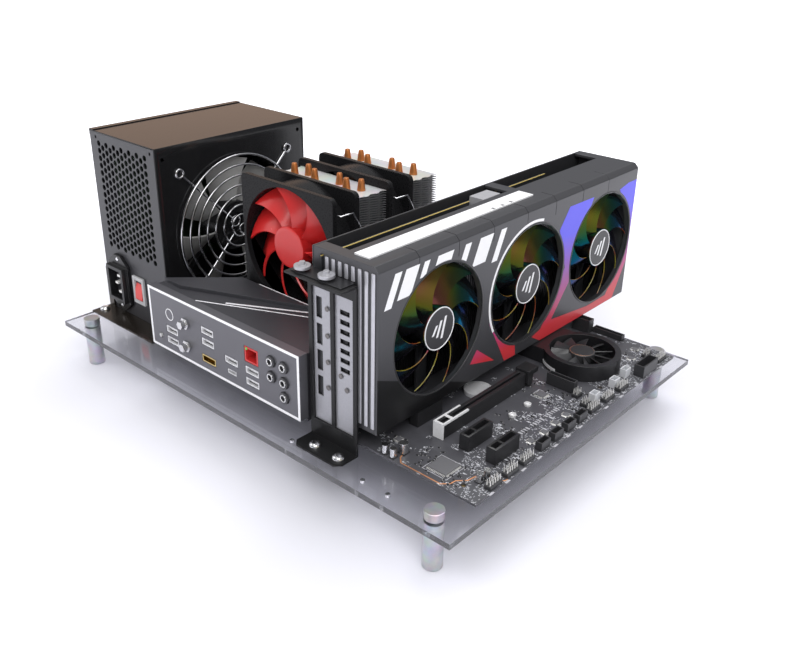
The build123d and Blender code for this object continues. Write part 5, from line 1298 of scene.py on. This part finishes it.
slot_rows = (-8.8, 1.3, 11)
slots = [slot_block(y, 1.4, 1.5, strip_low.z - mm, strip_high.z + mm) for y in slot_rows]
cut(strip, join(slots, "slots"))
soften(strip, 0.2 * mm)
inserts = [soften(slot_block(y, 1.5, 1.6, strip_low.z, strip_low.z + 0.5 * mm), 0.15 * mm) for y in slot_rows]
fit(join(inserts, "strip_inserts"), black_plastic)
strip_white = surface("white strip", (0.86, 0.86, 0.88), 0.35, wander=0.03, bump=0.0)
fit(strip, strip_white, stands_for=("card_light_strip",))
refine("card_power_socket", 0.4 * mm, surface("pale socket", (0.34, 0.34, 0.36), 0.4))


# Stage: a white studio floor with soft light from above, and the camera of the photo.
# The floor glows a little away from the bench, and glossy rays see a brown wall and a side panel.
deselect()
bpy.ops.mesh.primitive_plane_add(size=40, location=(0, 0, -0.2 * mm))
floor = settle("floor")
floor_paint = surface("white floor", (0.76, 0.76, 0.82), 0.9, scale=4, wander=0.01, bump=0.0)
floor_tree = floor_paint.node_tree
floor_axes = axes_mm(floor_tree)
squares = [calc(floor_tree, "MULTIPLY", floor_axes[axis], floor_axes[axis]) for axis in "XY"]
away = calc(floor_tree, "SQRT", calc(floor_tree, "ADD", *squares))
glow = slope(floor_tree, away, start=270, steepness=0.0014, top=0.6)
finish(floor_paint, {"Emission Color": (1, 1, 1), "Emission Strength": glow})
paint(floor, floor_paint)
world = bpy.context.scene.world or bpy.data.worlds.new("studio")
bpy.context.scene.world = world
world.use_nodes = True
sky = world.node_tree
room_light = sky.nodes["Background"]
toward = add_node(sky, "TexCoord")["Generated"]
room = sky.nodes.new("ShaderNodeValToRGB")
dim_end, lit_end = room.color_ramp.elements
dim_end.position, dim_end.color = 0.30, (0.30, 0.31, 0.34, 1)
lit_end.position, lit_end.color = 0.62, (1, 1, 1, 1)
hue = fill(sky, room, {"Fac": add_node(sky, "SeparateXYZ", {0: toward})["Z"]})["Color"]
for direction, start, steepness, colour in (
    ((-0.789, 0.571, 0.226), 0.968, 50, (1.1, 0.78, 0.60)),
    ((0.97, -0.19, 0.12), 0.86, 14, (0.85, 0.78, 0.6)),
):
    lean = add_node(sky, "VectorMath", {0: toward, 1: direction}, operation="DOT_PRODUCT")["Value"]
    hue = blend(sky, slope(sky, lean, start, steepness), hue, colour)
ray_kind = add_node(sky, "LightPath")
in_gloss = blend(sky, ray_kind["Is Glossy Ray"], (1, 1, 1), hue)
light = fill(sky, room_light, {"Color": in_gloss, "Strength": 0.64})["Background"]
backdrop = add_node(sky, "Background", {"Color": (1, 1, 1)})["Background"]
seen = add_node(sky, "MixShader", {"Fac": ray_kind["Is Camera Ray"], 1: light, 2: backdrop})["Shader"]
fill(sky, sky.nodes["World Output"], {"Surface": seen})
aim = Vector((0, 0, 0.08))
for name, spot, size, power in (
    ("key", (1.2, -1.1, 1.9), 1.6, 27),
    ("fill", (-1.6, -1.2, 1.2), 1.6, 8),
    ("top", (-0.25, 0.5, 2.0), 1.3, 24),
):
    bpy.ops.object.light_add(type="AREA", location=spot)
    lamp = bpy.context.object
    lamp.name = name
    lamp.data.size = size
    lamp.data.energy = power
    lamp.rotation_euler = (aim - Vector(spot)).to_track_quat("-Z", "Y").to_euler()
photo_width, photo_height = 787, 653
focal_length, centre_x, centre_y, sensor = 886.522, 386.498, 308.582, 36
camera_spot = (0.427496, -0.469652, 0.351505)
right = Vector((0.739058, 0.673526, 0.012485))
down = Vector((0.293444, -0.305201, -0.905949))
ahead = Vector((-0.606369, 0.673212, -0.423204))
bpy.ops.object.camera_add()
camera = bpy.context.object
camera.name = "photo_camera"
camera.data.sensor_width = sensor
camera.data.lens = focal_length / photo_width * sensor
camera.data.shift_x = (photo_width / 2 - centre_x) / photo_width
camera.data.shift_y = (centre_y - photo_height / 2) / photo_width
turn = Matrix((right, -down, -ahead)).transposed().to_4x4()
camera.matrix_world = Matrix.Translation(camera_spot) @ turn
bpy.context.scene.camera = camera
bpy.context.scene.view_settings.view_transform = "Standard"
